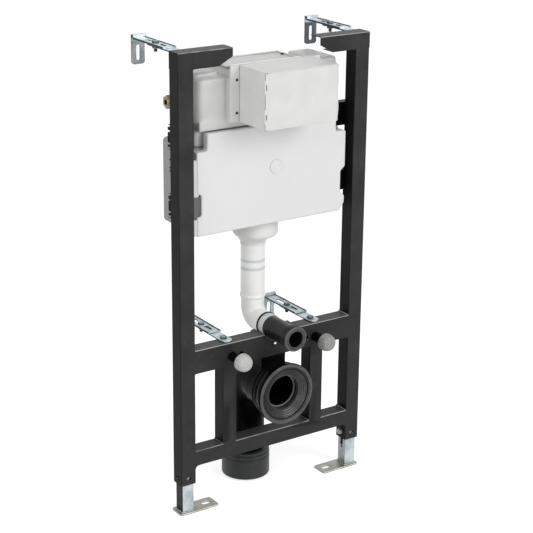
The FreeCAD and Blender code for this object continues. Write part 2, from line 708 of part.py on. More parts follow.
def insulation_panel():
    piece = body("panel_foam")
    wide = jacket_half_width
    notch = wide - d.panel_notch_depth
    notch_top = notch_bottom + d.panel_notch_height
    shoulder = tank_bottom - d.panel_shoulder_drop
    inset = wide - d.panel_shoulder_width
    slope = d.panel_notch_slope
    above = [(wide, shoulder), (inset, shoulder), (inset, tank_bottom + d.panel_rise)]
    right = [(wide - d.panel_lobe_width, jacket_bottom), (wide, jacket_bottom + d.panel_lobe_height),
             (wide, notch_bottom - slope), (notch, notch_bottom), (notch, notch_top),
             (wide, notch_top + slope)] + above
    left = [(wide, jacket_bottom), (wide, notch_bottom), (notch, notch_bottom), (notch, notch_top),
            (wide, notch_top)] + above
    face = outline(sketch(piece, "panel_outline", "XZ_Plane", -d.panel_back),
                   right + [(-across, up) for across, up in reversed(left)])
    pad(piece, face, d.panel_back - d.panel_front)
    round_edges(piece, "panel_corners", d.panel_corner, lambda edge: runs_along(edge, "y"))
    round_edges(piece, "panel_front_edge", d.panel_edge, lambda edge: lies_at(edge, "y", d.panel_front))
    ring = sketch(piece, "panel_ring", "XZ_Plane", -d.panel_front)
    middle = (d.ring_offset, jacket_bottom + d.ring_rise)
    circle(ring, middle, d.ring_size)
    circle(ring, middle, d.ring_size - 2 * d.ring_width)
    pad(piece, ring, d.ring_proud)
    node(piece, "insulation_panel")


# Access box: protective box in front of the tank's neck, on a screwed flange, with a clipped cover
def access_flange():
    piece = body("flange_plate")
    half = d.flange_half_width
    face = rectangle(sketch(piece, "flange_outline", "XZ_Plane", -flange_back), (-half, flange_bottom),
                     (half, flange_top))
    pad(piece, face, d.flange_thickness)
    round_edges(piece, "flange_corners", d.flange_corner, lambda edge: runs_along(edge, "y"))
    node(piece, "access_flange")


def access_box():
    half = d.box_half_width
    outer = box("access_box_outer", (-half, d.box_front, flange_bottom), (half, d.flange_front, flange_top))
    inner = half - d.box_wall
    hollow = box("access_box_hollow", (-inner, d.box_front, flange_bottom + d.box_wall),
                 (inner, d.flange_front, flange_top - d.box_wall))
    node(cut("access_box_walls", outer, hollow), "access_box")


def access_cover():
    half = d.box_half_width
    front = d.box_front - d.cover_thickness
    parts = [box("cover_plate", (-half, front, flange_bottom), (half, d.box_front, flange_top))]
    for side_name, side in sides.items():
        low, high = span(side, half, half + d.tab_proud)
        for word, height in (("low", flange_bottom + d.low_tab_rise), ("high", flange_top - d.high_tab_drop)):
            parts.append(box("cover_%s_%s_tab" % (side_name, word), (low, front, height - d.tab_height / 2),
                             (high, front + d.tab_depth, height + d.tab_height / 2)))
    node(fuse("cover_tabbed", *parts), "access_cover")


def flange_screws():
    heads = []
    for side_name, side in sides.items():
        for word, height in (("low", flange_bottom + d.low_screw_rise),
                             ("high", flange_top - d.high_screw_drop)):
            heads.append(rod("%s_%s_screw" % (side_name, word), "y",
                             (side * d.screw_offset, d.flange_front - d.screw_proud, height),
                             d.screw_proud, d.screw_size))
    node(group("flange_screw_heads", *heads), "flange_screws")


# Side clips: toothed blocks behind the posts; the high ones hold the tank, the low ones the foam
def side_clips(name, side):
    clips = []
    back = d.post_depth + d.clip_thickness
    teeth_start = half_width - d.clip_inset - d.tooth_depth
    for word, height in clip_heights.items():
        bottom = height - d.clip_height / 2
        low, high = span(side, clip_inner[word], teeth_start)
        parts = [box("%s_%s_block" % (name, word), (low, d.post_depth, bottom),
                     (high, back, bottom + d.clip_height))]
        low, high = span(side, teeth_start, teeth_start + d.tooth_depth)
        for number, share in enumerate(tooth_heights):
            start = height + d.clip_height * share - d.tooth_height / 2
            parts.append(box("%s_%s_tooth_%d" % (name, word, number), (low, d.post_depth, start),
                             (high, back, start + d.tooth_height)))
        if word == "low":
            front = d.tongue_back - d.tongue_thickness
            foot = notch_bottom + d.tongue_clearance
            head = notch_bottom + d.panel_notch_height - d.tongue_clearance
            low, high = span(side, jacket_half_width - d.panel_notch_depth + d.tongue_clearance,
                             jacket_half_width + d.tongue_arm)
            parts.append(box(name + "_tongue", (low, front, foot), (high, d.tongue_back, head)))
            low, high = span(side, jacket_half_width, jacket_half_width + d.tongue_arm)
            parts.append(box(name + "_tongue_arm", (low, d.tongue_back, foot), (high, d.post_depth, head)))
        clips.append(fuse("%s_%s_clip" % (name, word), *parts))
    node(group(name + "_pair", *clips), name)


# Inlet: brass thread and nut on the side of the tank
def inlet_fitting():
    end = -tank_half_width - d.inlet_thread_length
    y, z = d.inlet_depth, tank_top - d.inlet_drop
    thread = rod("inlet_thread", "x", (end, y, z), d.inlet_thread_length, d.inlet_thread_size)
    nut = hexagon("inlet_nut", "x", (-tank_half_width - d.inlet_nut_offset - d.inlet_nut_height, y, z),
                  d.inlet_nut_height, d.inlet_nut_flats)
    bore = rod("inlet_bore", "x", (end, y, z), d.inlet_thread_length, d.inlet_bore_size)
    node(cut("inlet_bored", fuse("inlet_solid", thread, nut), bore), "inlet_fitting")


# Flush line: bowl under the tank, pipe, coupling, elbow and the connector for the pan
def flush_outlet():
    """A bowl with a rounded floor that stands a little off the pipe, and a cone down to the pipe."""
    wall = d.flush_pipe_wall
    floor = jacket_bottom - d.funnel_drop
    neck = flush_pipe_top + d.funnel_collar_height
    shells = []
    for word, inset in (("outer", size(0)), ("inner", wall)):
        bowl = body("bowl_" + word)
        plan = circle(sketch(bowl, "bowl_%s_plan" % word, "XY_Plane", floor + inset), (0, 0),
                      d.funnel_size - 2 * inset)
        pad(bowl, plan, d.funnel_drop - inset)
        round_edges(bowl, "bowl_%s_rounding" % word, d.funnel_rounding - inset,
                    lambda edge: lies_at(edge, "z", floor + inset))
        bind(bowl, "Placement.Base.x", d.funnel_offset)
        shells.append(bowl)
    collar = turned_along_z("bowl_neck", [
        (0, flush_pipe_top), (d.funnel_collar_size / 2, flush_pipe_top), (d.funnel_collar_size / 2, neck),
        (d.funnel_neck_size / 2, floor), (d.funnel_neck_size / 2, floor + wall), (0, floor + wall)])
    bore = rod("bowl_bore", "z", (0, 0, flush_pipe_top), floor + 2 * wall - flush_pipe_top,
               d.flush_pipe_size - 2 * wall)
    node(cut("bowl_hollow", fuse("bowl_with_neck", shells[0], collar), shells[1], bore), "flush_outlet",
         (0, d.flush_depth, 0))


def flush_ring(name, outer_size, low, high):
    """A plain ring on the vertical run of the flush line."""
    bore = d.flush_pipe_size / 2 - d.flush_pipe_wall
    outer = outer_size / 2
    piece = turned_along_z(name + "_ring", [(bore, low), (outer, low), (outer, high), (bore, high)])
    node(piece, name, (0, d.flush_depth, 0))


def flush_elbow():
    radius = d.flush_bend_radius
    top = d.flush_pipe_bottom - d.coupling_height
    centre = (0, d.flush_depth - radius, d.flush_height + radius)
    forward_and_down = Rotation(Vector(0, 1, 0), Vector(0, 0, -1), Vector(-1, 0, 0))
    shells = []
    for word, diameter in (("outer", d.elbow_size), ("inner", d.elbow_size - 2 * d.flush_pipe_wall)):
        name = "flush_elbow_" + word
        shells.append(fuse(
            name, rod(name + "_drop", "z", (0, d.flush_depth, d.flush_height + radius),
                      top - d.flush_height - radius, diameter),
            quarter_bend(name + "_bend", centre, radius, diameter, forward_and_down),
            rod(name + "_run", "y", (0, d.elbow_front, d.flush_height),
                d.flush_depth - radius - d.elbow_front, diameter)))
    node(cut("flush_elbow_hollow", *shells), "flush_elbow")


def level_ring(name, outer_size, front, back):
    """A plain ring on the level run of the flush line."""
    bore = d.elbow_size / 2 - d.flush_pipe_wall
    outer = outer_size / 2
    piece = turned_along_y(name + "_ring", [(front, bore), (back, bore), (back, outer), (front, outer)])
    node(piece, name, (0, 0, d.flush_height))


def flush_connector():
    bore = d.connector_bore_size / 2
    barrel = d.connector_size / 2
    mouth = d.connector_mouth_size / 2
    rib = d.rib_size / 2
    front = d.connector_front
    face = front + d.inner_lip_proud
    inner_lip = d.inner_lip_size / 2
    lip = front + d.connector_lip
    first = lip + d.rib_step - d.rib_width
    second = first + d.rib_step
    back = d.connector_back
    piece = turned_along_y("connector_moulding", [
        (front, bore), (front, inner_lip), (face, inner_lip), (face, mouth), (lip, mouth),
        (lip, barrel), (first, barrel), (first, rib),
        (first + d.rib_width, rib), (first + d.rib_width, barrel), (second, barrel), (second, rib),
        (second + d.rib_width, rib), (second + d.rib_width, barrel), (back, barrel), (back, bore)])
    node(piece, "flush_connector", (0, 0, d.flush_height))


# Connector saddle: half shell in the notch of the mid rail, with a tab screwed to its front
def connector_saddle():
    inner = d.connector_size + 2 * d.saddle_clearance
    outer = notch_size - 2 * d.saddle_clearance
    front = d.saddle_front
    length = d.saddle_back - front
    half = d.saddle_tab_width / 2
    shell = rod("saddle_outer", "y", (0, front, d.flush_height), length, outer)
    tab = box("saddle_tab", (-half, -d.saddle_tab_thickness, d.saddle_tab_bottom),
              (half, 0, d.flush_height))
    upper_half = box("saddle_upper_half", (-outer / 2, front, mid_rail_top),
                     (outer / 2, d.saddle_back, d.flush_height + outer / 2))
    bore = rod("saddle_bore", "y", (0, front, d.flush_height), length, inner)
    node(cut("saddle_shaped", fuse("saddle_with_tab", shell, tab), upper_half, bore), "connector_saddle")


def saddle_screw():
    head = rod("saddle_screw_head", "y",
               (0, -d.saddle_tab_thickness - d.saddle_screw_proud, d.saddle_screw_height),
               d.saddle_screw_proud, d.saddle_screw_size)
    node(group("saddle_screw_placed", head), "saddle_screw")


# Soil line: ribbed seal, connector for the pan, bend, drop and the collar of the outlet
def pan_seal():
    outer = d.seal_size / 2
    neck = outer - d.seal_neck_inset
    shell = d.shell_size / 2
    bore = d.soil_bore_size / 2
    mouth = outer - d.seal_lip_width
    first = d.seal_front + d.seal_lip_depth
    depth = (d.seal_face_back - first) / seal_steps
    drop = (mouth - bore) / seal_steps
    points = [(d.seal_back, bore), (d.seal_back, shell), (d.seal_lip_back, neck),
              (d.seal_lip_back, outer), (d.seal_front, outer), (d.seal_front, mouth)]
    for step in range(seal_steps):
        y = first + depth * step
        points += [(y, mouth - drop * step), (y, mouth - drop * (step + 1))]
    piece = turned_along_y("seal_moulding", points)
    round_edges(piece, "seal_lip", d.seal_rounding, lambda edge: lies_at(edge, "y", d.seal_front))
    node(piece, "pan_seal", (0, 0, d.soil_height))


def pan_connector():
    bore = d.soil_bore_size / 2
    shell = d.shell_size / 2
    step = d.shell_step_size / 2
    groove = d.shell_groove_size / 2
    clamp = d.clamp_ring_size / 2
    socket = d.socket_size / 2
    spigot = d.spigot_size / 2
    bead = d.bead_size / 2
    bead_end = d.socket_back + d.bead_width
    piece = turned_along_y("pan_connector_moulding", [
        (d.seal_back, bore), (d.seal_back, shell), (d.shell_step_front, shell),
        (d.shell_step_front, step), (d.shell_groove_front, step), (d.shell_groove_front, groove),
        (d.shell_groove_back, groove), (d.shell_groove_back, clamp), (d.shell_back, clamp),
        (d.shell_back, socket), (d.socket_back, socket), (d.socket_back, bead), (bead_end, bead),
        (bead_end, spigot), (d.spigot_back, spigot), (d.spigot_back, bore)])
    node(piece, "pan_connector", (0, 0, d.soil_height))


def soil_bend():
    centre = (0, d.spigot_back, soil_drop_top)
    level_and_down = Rotation(Vector(0, 1, 0), Vector(0, 0, 1), Vector(1, 0, 0))
    shells = [quarter_bend("soil_bend_" + word, centre, d.soil_bend_radius, diameter, level_and_down)
              for word, diameter in (("outer", soil_pipe_size), ("inner", d.soil_bore_size))]
    node(cut("soil_bend_hollow", *shells), "soil_bend")


def soil_drop():
    bore = d.soil_bore_size / 2
    outer = soil_pipe_size / 2
    piece = turned_along_z("soil_drop_pipe", [(bore, d.outlet_ring_top), (outer, d.outlet_ring_top),
                                              (outer, soil_drop_top), (bore, soil_drop_top)])
    node(piece, "soil_drop", (0, soil_drop_depth, 0))


def outlet_collar():
    ring = d.outlet_ring_size / 2
    outer = d.outlet_size / 2
    inner = outer - d.outlet_wall
    bore = d.soil_bore_size / 2
    piece = turned_along_z("outlet_moulding", [
        (inner, d.outlet_bottom), (outer, d.outlet_bottom), (outer, d.outlet_ring_bottom),
        (ring, d.outlet_ring_bottom), (ring, d.outlet_ring_top), (bore, d.outlet_ring_top),
        (bore, d.outlet_ring_bottom), (inner, d.outlet_ring_bottom)])
    node(piece, "outlet_collar", (0, soil_drop_depth, 0))


def bend_clip():
    half = d.bend_clip_half_width
    block = box("bend_clip_block", (-half, d.bend_clip_front, d.bend_clip_bottom),
                (half, d.bend_clip_back, d.mid_rail_bottom))
    seat = rod("bend_clip_seat", "y", (0, d.bend_clip_front, d.soil_height),
               d.bend_clip_back - d.bend_clip_front, d.socket_size + 2 * d.bend_clip_clearance)
    node(cut("bend_clip_shaped", block, seat), "bend_clip")


mid_rail()
lower_rail()
for name, side in sides.items():
    post(name + "_post", side)
    arm(name + "_arm", side)
    mullion(name + "_mullion", side)
    leg(name + "_leg", side)
    foot_plate(name + "_foot_plate", side)
    leg_clamp(name + "_leg_clamp", side)
    for level in ("upper", "lower"):
        bracket_strip("%s_%s_strip" % (level, name), level, side)
        wall_bracket("%s_%s_bracket" % (level, name), level, side)
        bracket_bolts("%s_%s_bolts" % (level, name), level, side)
    pan_stud(name + "_stud", side)
    stud_sleeve(name + "_stud_sleeve", side)
    stud_cap(name + "_stud_cap", side)
    side_clips(name + "_clips", side)
cistern_tank()
tank_lid()
tank_jacket()
insulation_panel()
access_flange()
access_box()
access_cover()
flange_screws()
inlet_fitting()
flush_outlet()
flush_ring("flush_pipe", d.flush_pipe_size, d.flush_pipe_bottom, flush_pipe_top)
flush_ring("pipe_coupling", d.coupling_size, d.flush_pipe_bottom - d.coupling_height, d.flush_pipe_bottom)
flush_elbow()
level_ring("elbow_seal", d.elbow_seal_size, d.elbow_front - d.elbow_seal_width, d.elbow_front)
level_ring("connector_ring", d.connector_ring_size, d.connector_back, d.elbow_front - d.elbow_seal_width)
flush_connector()
connector_saddle()
saddle_screw()
pan_seal()
pan_connector()
soil_bend()
soil_drop()
outlet_collar()
bend_clip()
doc.recompute()

# Every object has to be sound, and every cut has to take something away, before a file is written
for item in doc.Objects:
    if "Invalid" in item.State or "Error" in item.State:
        raise RuntimeError("%s failed: %s" % (item.Name, item.State))
    if item.TypeId == "PartDesign::Pocket" and item.Shape.Volume >= item.BaseFeature.Shape.Volume:
        raise RuntimeError(item.Name + " cuts nothing")
    if item.TypeId == "Part::Cut" and item.Shape.Volume >= item.Base.Shape.Volume:
        raise RuntimeError(item.Name + " cuts nothing")
for item in nodes:
    if item.Shape.isNull() or not item.Shape.isValid() or not item.Shape.Solids:
        raise RuntimeError(item.Label + " has no valid shape")
os.makedirs("parts", exist_ok=True)
for item in nodes:
    item.Shape.exportStep("parts/%s.step" % item.Label)
print(len(nodes), "nodes written")
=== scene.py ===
import math

import bmesh
import bpy
from mathutils import Matrix, Vector


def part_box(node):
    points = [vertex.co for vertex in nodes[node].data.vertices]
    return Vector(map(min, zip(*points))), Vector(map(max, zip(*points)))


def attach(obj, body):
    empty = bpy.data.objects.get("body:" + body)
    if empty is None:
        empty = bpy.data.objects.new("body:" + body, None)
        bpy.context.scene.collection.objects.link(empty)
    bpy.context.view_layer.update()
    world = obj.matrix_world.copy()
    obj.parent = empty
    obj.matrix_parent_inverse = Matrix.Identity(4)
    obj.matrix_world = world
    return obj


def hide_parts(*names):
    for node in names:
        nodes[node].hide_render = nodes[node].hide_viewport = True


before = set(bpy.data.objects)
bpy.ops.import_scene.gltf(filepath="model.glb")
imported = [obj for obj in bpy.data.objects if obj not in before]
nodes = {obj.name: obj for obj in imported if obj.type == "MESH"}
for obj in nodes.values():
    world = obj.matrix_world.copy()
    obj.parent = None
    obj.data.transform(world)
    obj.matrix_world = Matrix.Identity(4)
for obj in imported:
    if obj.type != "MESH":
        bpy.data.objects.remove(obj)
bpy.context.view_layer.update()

# Steel frame
# Posts, arms, rails and mullions are square steel tube and folded sheet, welded and powder coated black.
# The coat is a fine satin texture over the ripples of the weld seams.


class Channel:
    """A socket of a node tree: an expression on channels adds its Math nodes."""

    def __init__(self, tree, socket=None):
        self.tree = tree
        self.socket = socket

    def node(self, kind, settings=None, inputs=None, output=0):
        """Any node: its settings, then the values or links of its inputs, then one of its outputs."""
        item = self.tree.nodes.new(kind if "Node" in kind else "ShaderNode" + kind)
        for name, value in (settings or {}).items():
            setattr(item, name, value)
        for name, value in (inputs or {}).items():
            if isinstance(value, Channel):
                self.tree.links.new(value.socket, item.inputs[name])
            else:
                item.inputs[name].default_value = value
        return Channel(self.tree, item.outputs[output])

    def also(self, output):
        """Another output of the same node."""
        return Channel(self.tree, self.socket.node.outputs[output])

    def math(self, operation, *values):
        """A Math node on this channel and the other values."""
        return self.node("Math", {"operation": operation}, dict(enumerate((self,) + values)))

    def __add__(self, other):
        return self.math("ADD", other)

    def __sub__(self, other):
        return self.math("SUBTRACT", other)

    def __mul__(self, other):
        return self.math("MULTIPLY", other)

    def __rsub__(self, other):
        return self.math("MULTIPLY", -1.0) + other

    __radd__ = __add__
    __rmul__ = __mul__

    def xyz(self):
        """The three numbers of a vector."""
        first = self.node("SeparateXYZ", {}, {"Vector": self})
        return first, first.also("Y"), first.also("Z")

    def clamp(self):
        """Held between 0 and 1."""
        return self.node("Clamp", {}, {"Value": self, "Min": 0.0, "Max": 1.0})

    def between(self, low, high):
        """0 below the low value, 1 above the high one."""
        return self.node("MapRange", {"interpolation_type": "SMOOTHSTEP"},
                         {"Value": self, "From Min": low, "From Max": high})

    def colour(self, one, other):
        """From one colour to the other as this channel goes from 0 to 1."""
        return self.node("Mix", {"data_type": "RGBA"}, {0: self, 6: one, 7: other}, 2)


def finish(name, constants):
    """A new material: its start for nodes, its surface shader, and the object's coordinates."""
    material = bpy.data.materials.new(name)
    material.use_nodes = True
    tree = material.node_tree
    shader = tree.nodes["Principled BSDF"]
    for socket, value in constants.items():
        shader.inputs[socket].default_value = value
    start = Channel(tree)
    place = start.node("TexCoord", {}, {}, "Object")
    return material, start, shader, place


def wire(shader, **channels):
    """Link channels to the surface shader; underscores stand for spaces."""
    for name, channel in channels.items():
        channel.tree.links.new(channel.socket, shader.inputs[name.replace("_", " ")])


def grain(start, place, size, detail=3.0, roughness=0.55):
    """Cloudy noise whose features are about the given size in metres."""
    return start.node("TexNoise", {}, {"Vector": place, "Scale": 1.0 / size, "Detail": detail,
                                       "Roughness": roughness}, "Fac")


def crevice(start, reach):
    """1 in narrow places and under overhangs, 0 in the open, for painted shade; the reach is in
    millimetres.
    """
    openness = start.node("AmbientOcclusion", {"samples": 6}, {"Distance": reach / 1000}, "AO")
    return 1 - openness.between(0.35, 0.95)


def facing(start):
    """Which way the surface faces, as x, y and z."""
    return start.node("NewGeometry", {}, {}, "True Normal").xyz()


def bump(start, height, strength, distance):
    """The Normal for a relief; the distance is its depth in metres."""
    return start.node("Bump", {}, {"Height": height, "Strength": strength, "Distance": distance})


def grey(level, warmth=0.0):
    """A grey as the eye sees it from 0 to 1: a warm one loses blue, a cool one loses red."""
    linear = level ** 2.2
    red, blue = (warmth, -0.4 * warmth) if warmth < 0 else (0.2 * warmth, -2 * warmth)
    return (linear * (1 + red), linear, linear * (1 + blue), 1)


def powder_coat():
    """Satin black with dust specks, painted side shade, painted top light and painted upper edge
    highlights.
    """
    material, start, shader, place = finish("black powder coat", {"Specular IOR Level": 0.1})
    clouds = grain(start, place, 0.09)
    peel = grain(start, place, 0.0011, 2.0)
    dust = grain(start, place, 0.02, 6.0, 0.7).between(0.56, 0.72)
    across, _, upward = facing(start)
    # Painted shade: faces turned to either side are darker than the fronts.
    painted_side_shade = across.math("ABSOLUTE").between(0.6, 0.9)
    # Painted highlight: pale lines on the rounded upper edges stand in for a lamp's reflection.
    upper_edges = upward.between(0.2, 0.45) * (1 - upward.between(0.8, 0.95))
    painted_edge_highlight = upper_edges * grain(start, place, 0.14).between(0.34, 0.5)
    tone = (clouds * 0.7 + dust * 0.25 - painted_side_shade * 1.1 + 0.14).clamp()
    # Painted light on upward faces, weaker on the lower rail, which lies in shade.
    above_lower_rail = place.xyz()[2].between(-0.85, -0.7)
    painted_top_light = upward.between(0.7, 0.98) * (0.45 + clouds * 0.9) * (0.2 + above_lower_rail * 0.5)
    plain = painted_top_light.clamp().colour(tone.colour(grey(0.09), grey(0.28)), grey(0.4))
    wire(shader, Base_Color=painted_edge_highlight.colour(plain, grey(0.66)),
         Roughness=0.46 + clouds * 0.1 + dust * 0.1 - painted_edge_highlight * 0.15,
         Normal=bump(start, peel + clouds, 0.25, 0.0003))
    return material


def dress(material, *names):
    """Give CAD nodes their finish."""
    for name in names:
        nodes[name].data.materials.clear()
        nodes[name].data.materials.append(material)


centre_x, front_y, floor_z = 231.0, 206.0, 1070.5


def at(x, y, z):
    """A place in metres from the drawing's millimetres: centre line, front of the frame, floor."""
    return Vector((x + centre_x, y - front_y, z - floor_z)) / 1000.0


def add_piece(name, mesh, material, body, slot, *stands_for):
    """Put a finished mesh in the scene as a piece that moves with a body."""
    mesh.name = name
    mesh.materials.clear()
    mesh.materials.append(material)
    item = bpy.data.objects.new(name, mesh)
    bpy.context.scene.collection.objects.link(item)
    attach(item, body)
    if stands_for:
        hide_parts(*stands_for)


def evaluated(mesh, prepare, material):
    """The mesh after its modifiers, which the prepare function adds."""
    item = bpy.data.objects.new("work", mesh)
    bpy.context.scene.collection.objects.link(item)
    item.data.materials.append(material)
    prepare(item)
    result = bpy.data.meshes.new_from_object(item.evaluated_get(bpy.context.evaluated_depsgraph_get()))
    item.modifiers.clear()
    bpy.data.objects.remove(item)
    return result


def smooth(mesh, angle=35.0):
    """Smooth shading, with edges sharper than the angle kept sharp."""
    mesh.shade_smooth()
    mesh.set_sharp_from_angle(angle=math.radians(angle))
    return mesh


def new_tree(name, **sockets):
    """A geometry tree with named inputs, its inputs as channels, and their identifiers."""
    tree = bpy.data.node_groups.new(name, "GeometryNodeTree")
    tree.interface.new_socket("Geometry", in_out="INPUT", socket_type="NodeSocketGeometry")
    keys = {}
    for word, kind in sockets.items():
        socket = tree.interface.new_socket(word, in_out="INPUT", socket_type="NodeSocket" + kind)
        keys[word] = socket.identifier
    tree.interface.new_socket("Geometry", in_out="OUTPUT", socket_type="NodeSocketGeometry")
    start = Channel(tree).node("NodeGroupInput")
    return tree, start, {word: start.also(word) for word in sockets}, keys


def end_tree(tree, geometry, material):
    """Realize the instances, set the material and give the geometry out."""
    real = geometry.node("GeometryNodeRealizeInstances", {}, {"Geometry": geometry})
    done = real.node("GeometryNodeSetMaterial", {}, {"Geometry": real, "Material": material})
    output = tree.nodes.new("NodeGroupOutput")
    tree.links.new(done.socket, output.inputs[0])


def grown(tree, keys, mesh, material, values):
    """The plain mesh that a geometry tree makes from a mesh and its named sizes."""
    def prepare(item):
        modifier = item.modifiers.new("grow", "NODES")
        modifier.node_group = tree
        for word, value in dict(values, Material=material).items():
            modifier[keys[word]] = value
    return evaluated(mesh, prepare, material)


def weld_tree():
    """Ripples of weld metal, a step apart along every edge of a mesh, up to 12 % wider or narrower."""
    least, most, seed = 0.88, 1.12, 3
    tree, start, sizes, keys = new_tree("weld ripples", Step="Float", Width="Float", Material="Material")
    curve = start.node("GeometryNodeMeshToCurve", {}, {"Mesh": start})
    points = start.node("GeometryNodeCurveToPoints", {"mode": "LENGTH"},
                        {"Curve": curve, "Length": sizes["Step"]})
    ball = start.node("GeometryNodeMeshIcoSphere", {}, {"Radius": 1.0, "Subdivisions": 2})
    swell = start.node("FunctionNodeRandomValue", {"data_type": "FLOAT"}, {2: least, 3: most, 8: seed}, 1)
    width = sizes["Width"] * swell
    scale = start.node("CombineXYZ", {}, {"X": width, "Y": width, "Z": sizes["Step"] * 1.1})
    ripples = start.node("GeometryNodeInstanceOnPoints", {},
                         {"Points": points, "Instance": ball, "Rotation": points.also("Rotation"),
                          "Scale": scale})
    end_tree(tree, ripples, sizes["Material"])
    return tree, keys


def made_whole(source, target):
    """Write a mesh into another with its loose triangles joined and its flat faces whole."""
    touching, flat = 1e-6, math.radians(0.4)
    shape = bmesh.new()
    shape.from_mesh(source)
    bmesh.ops.remove_doubles(shape, verts=shape.verts, dist=touching)
    bmesh.ops.dissolve_limit(shape, angle_limit=flat, verts=shape.verts, edges=shape.edges)
    shape.to_mesh(target)
    shape.free()
    return target


def merged(name):
    """A copy of a CAD node's mesh, whole and without its own normals."""
    mesh = made_whole(nodes[name].data, bpy.data.meshes.new(name + "_merged"))
    for word in ("custom_normal", "sharp_face", "sharp_edge"):
        if word in mesh.attributes:
            mesh.attributes.remove(mesh.attributes[word])
    return mesh


def softened(mesh, width, segments=2, chosen=None):
    """Ease the sharp edges, or those that a rule chooses by their middles, and keep the faces flat."""
    if chosen:
        weights = mesh.attributes.new("bevel_weight_edge", "FLOAT", "EDGE")
        for edge in mesh.edges:
            ends = [mesh.vertices[number].co for number in edge.vertices]
            weights.data[edge.index].value = float(chosen((ends[0] + ends[1]) / 2))

    def bevel(item):
        modifier = item.modifiers.new("edges", "BEVEL")
        modifier.width = width / 1000
        modifier.segments = segments
        modifier.limit_method = "WEIGHT" if chosen else "ANGLE"
        modifier.angle_limit = math.radians(32)

    def even(item):
        item.modifiers.new("even", "WEIGHTED_NORMAL").keep_sharp = True
    return evaluated(smooth(evaluated(mesh, bevel, coat), 50), even, coat)


def combined(operation, first, *meshes):
    """Closed meshes welded together as one without walls between them, or cut out of the first."""
    others = []

    def combine(item):
        for mesh in meshes:
            other = bpy.data.objects.new("part", mesh)
            bpy.context.scene.collection.objects.link(other)
            others.append(other)
            modifier = item.modifiers.new("combined", "BOOLEAN")
            modifier.operation = operation
            modifier.solver = "EXACT"
            modifier.object = other
    mesh = evaluated(first, combine, coat)
    for other in others:
        bpy.data.objects.remove(other)
    return made_whole(mesh, mesh)


def closed(shape, name):
    """A closed bmesh as a mesh whose faces point outwards."""
    bmesh.ops.recalc_face_normals(shape, faces=shape.faces)
    mesh = bpy.data.meshes.new(name)
    shape.to_mesh(mesh)
    shape.free()
    return mesh


def plate(outline, front, behind, width=0.0, segments=2):
    """A flat plate from its outline in the drawing's x and z, between two depths, with eased edges."""
    shape = bmesh.new()
    loop = [shape.verts.new(at(x, front, z)) for x, z in outline]
    face = shape.faces.new(loop)
    for item in bmesh.ops.extrude_face_region(shape, geom=[face])["geom"]:
        if isinstance(item, bmesh.types.BMVert):
            item.co.y += (behind - front) / 1000
    mesh = closed(shape, "plate")
    return softened(mesh, width, segments) if width else mesh


def arc(centre, radius, first, last, steps):
    """Points of an arc in x and z between two angles in degrees."""
    x, z = centre
    angles = [math.radians(first + (last - first) * step / steps) for step in range(steps + 1)]
    return [(x + radius * math.cos(angle), z + radius * math.sin(angle)) for angle in angles]


def block(low, high, width=0.0, segments=2):
    """A block between two corners of the drawing, with eased edges."""
    (x1, y1, z1), (x2, y2, z2) = low, high
    return plate([(x1, z1), (x2, z1), (x2, z2), (x1, z2)], y1, y2, width, segments)


def side_block(side, low, high, width=0.0):
    """A block on one side of the centre line, from its corners as they lie on the right side."""
    x1, x2 = sorted((side * low[0], side * high[0]))
    return block((x1, *low[1:]), (x2, *high[1:]), width)


def joined(*meshes):
    """Several meshes as one."""
    items = [bpy.data.objects.new("part", mesh) for mesh in meshes]
    for item in items:
        bpy.context.scene.collection.objects.link(item)
    with bpy.context.temp_override(active_object=items[0], selected_editable_objects=items):
        bpy.ops.object.join()
    result = items[0].data
    bpy.data.objects.remove(items[0])
    return result


ripple_tree, ripple_keys = weld_tree()


def weld(name, lines, width, step, material, body, slot):
    """Seams of weld along lines, each from one place to another in the drawing's millimetres."""
    mesh = bpy.data.meshes.new(name)
    ends = [at(*end) for line in lines for end in line]
    mesh.from_pydata(ends, [(2 * number, 2 * number + 1) for number in range(len(lines))], [])
    ripples = grown(ripple_tree, ripple_keys, mesh, material, {"Step": step / 1000, "Width": width / 1000})
    add_piece(name, smooth(ripples), material, body, slot)


sides = {"left": -1, "right": 1}
coat = powder_coat()
members = ["mid_rail", "lower_rail"]
for name in sides:
    members += [name + "_post", name + "_arm", name + "_mullion"]

# Weld metal fills the joints flush at the front, given as x1, x2, z1, z2, and a fillet lies in each corner
# under the lower rail.
front_joints = ((247.5, 213.5, 1032, 1041), (216, 208, 347, 399), (216, 208, 119.5, 152.5),
                (104.5, 136.5, 340, 349), (104.5, 136.5, 150.5, 159))
fills = []
for side in sides.values():
    for x1, x2, z1, z2 in front_joints:
        fills.append(side_block(side, (x1, 0, z1), (x2, 3, z2)))
    corner = arc((side * 204.5, 109.5), 7.5, 90, 90 - side * 90, 8)
    fills.append(plate(corner + [(side * 213, 118), (side * 204.5, 118)], 0.6, 37.4))
welded = combined("UNION", *[merged(name) for name in members], *fills)
add_piece("welded_frame", softened(welded, 1.3, 3), coat, "frame", "black_steel", *members)
rail_lugs = joined(block((52, 33, 399.5), (66, 43, 405), 0.8),
                   block((-39, 33, 399.5), (-28, 41, 403.5), 0.8))
add_piece("rail_lugs", rail_lugs, coat, "frame", "black_steel")

post_inner = 212.0
frame_back = 38.0
mid_rail_span = (344.5, 401.5)
lower_rail_span = (117.0, 155.0)
mullion_high, mullion_low = mid_rail_span[0], lower_rail_span[1]
arm_low = 1037.0


def seam_through(x, z):
    """A seam from the front of the frame towards its back."""
    return (x, 3, z), (x, 35, z)


def seam_behind(x1, x2, z1, z2):
    """A seam on the back of the frame."""
    return (x1, frame_back, z1), (x2, frame_back, z2)


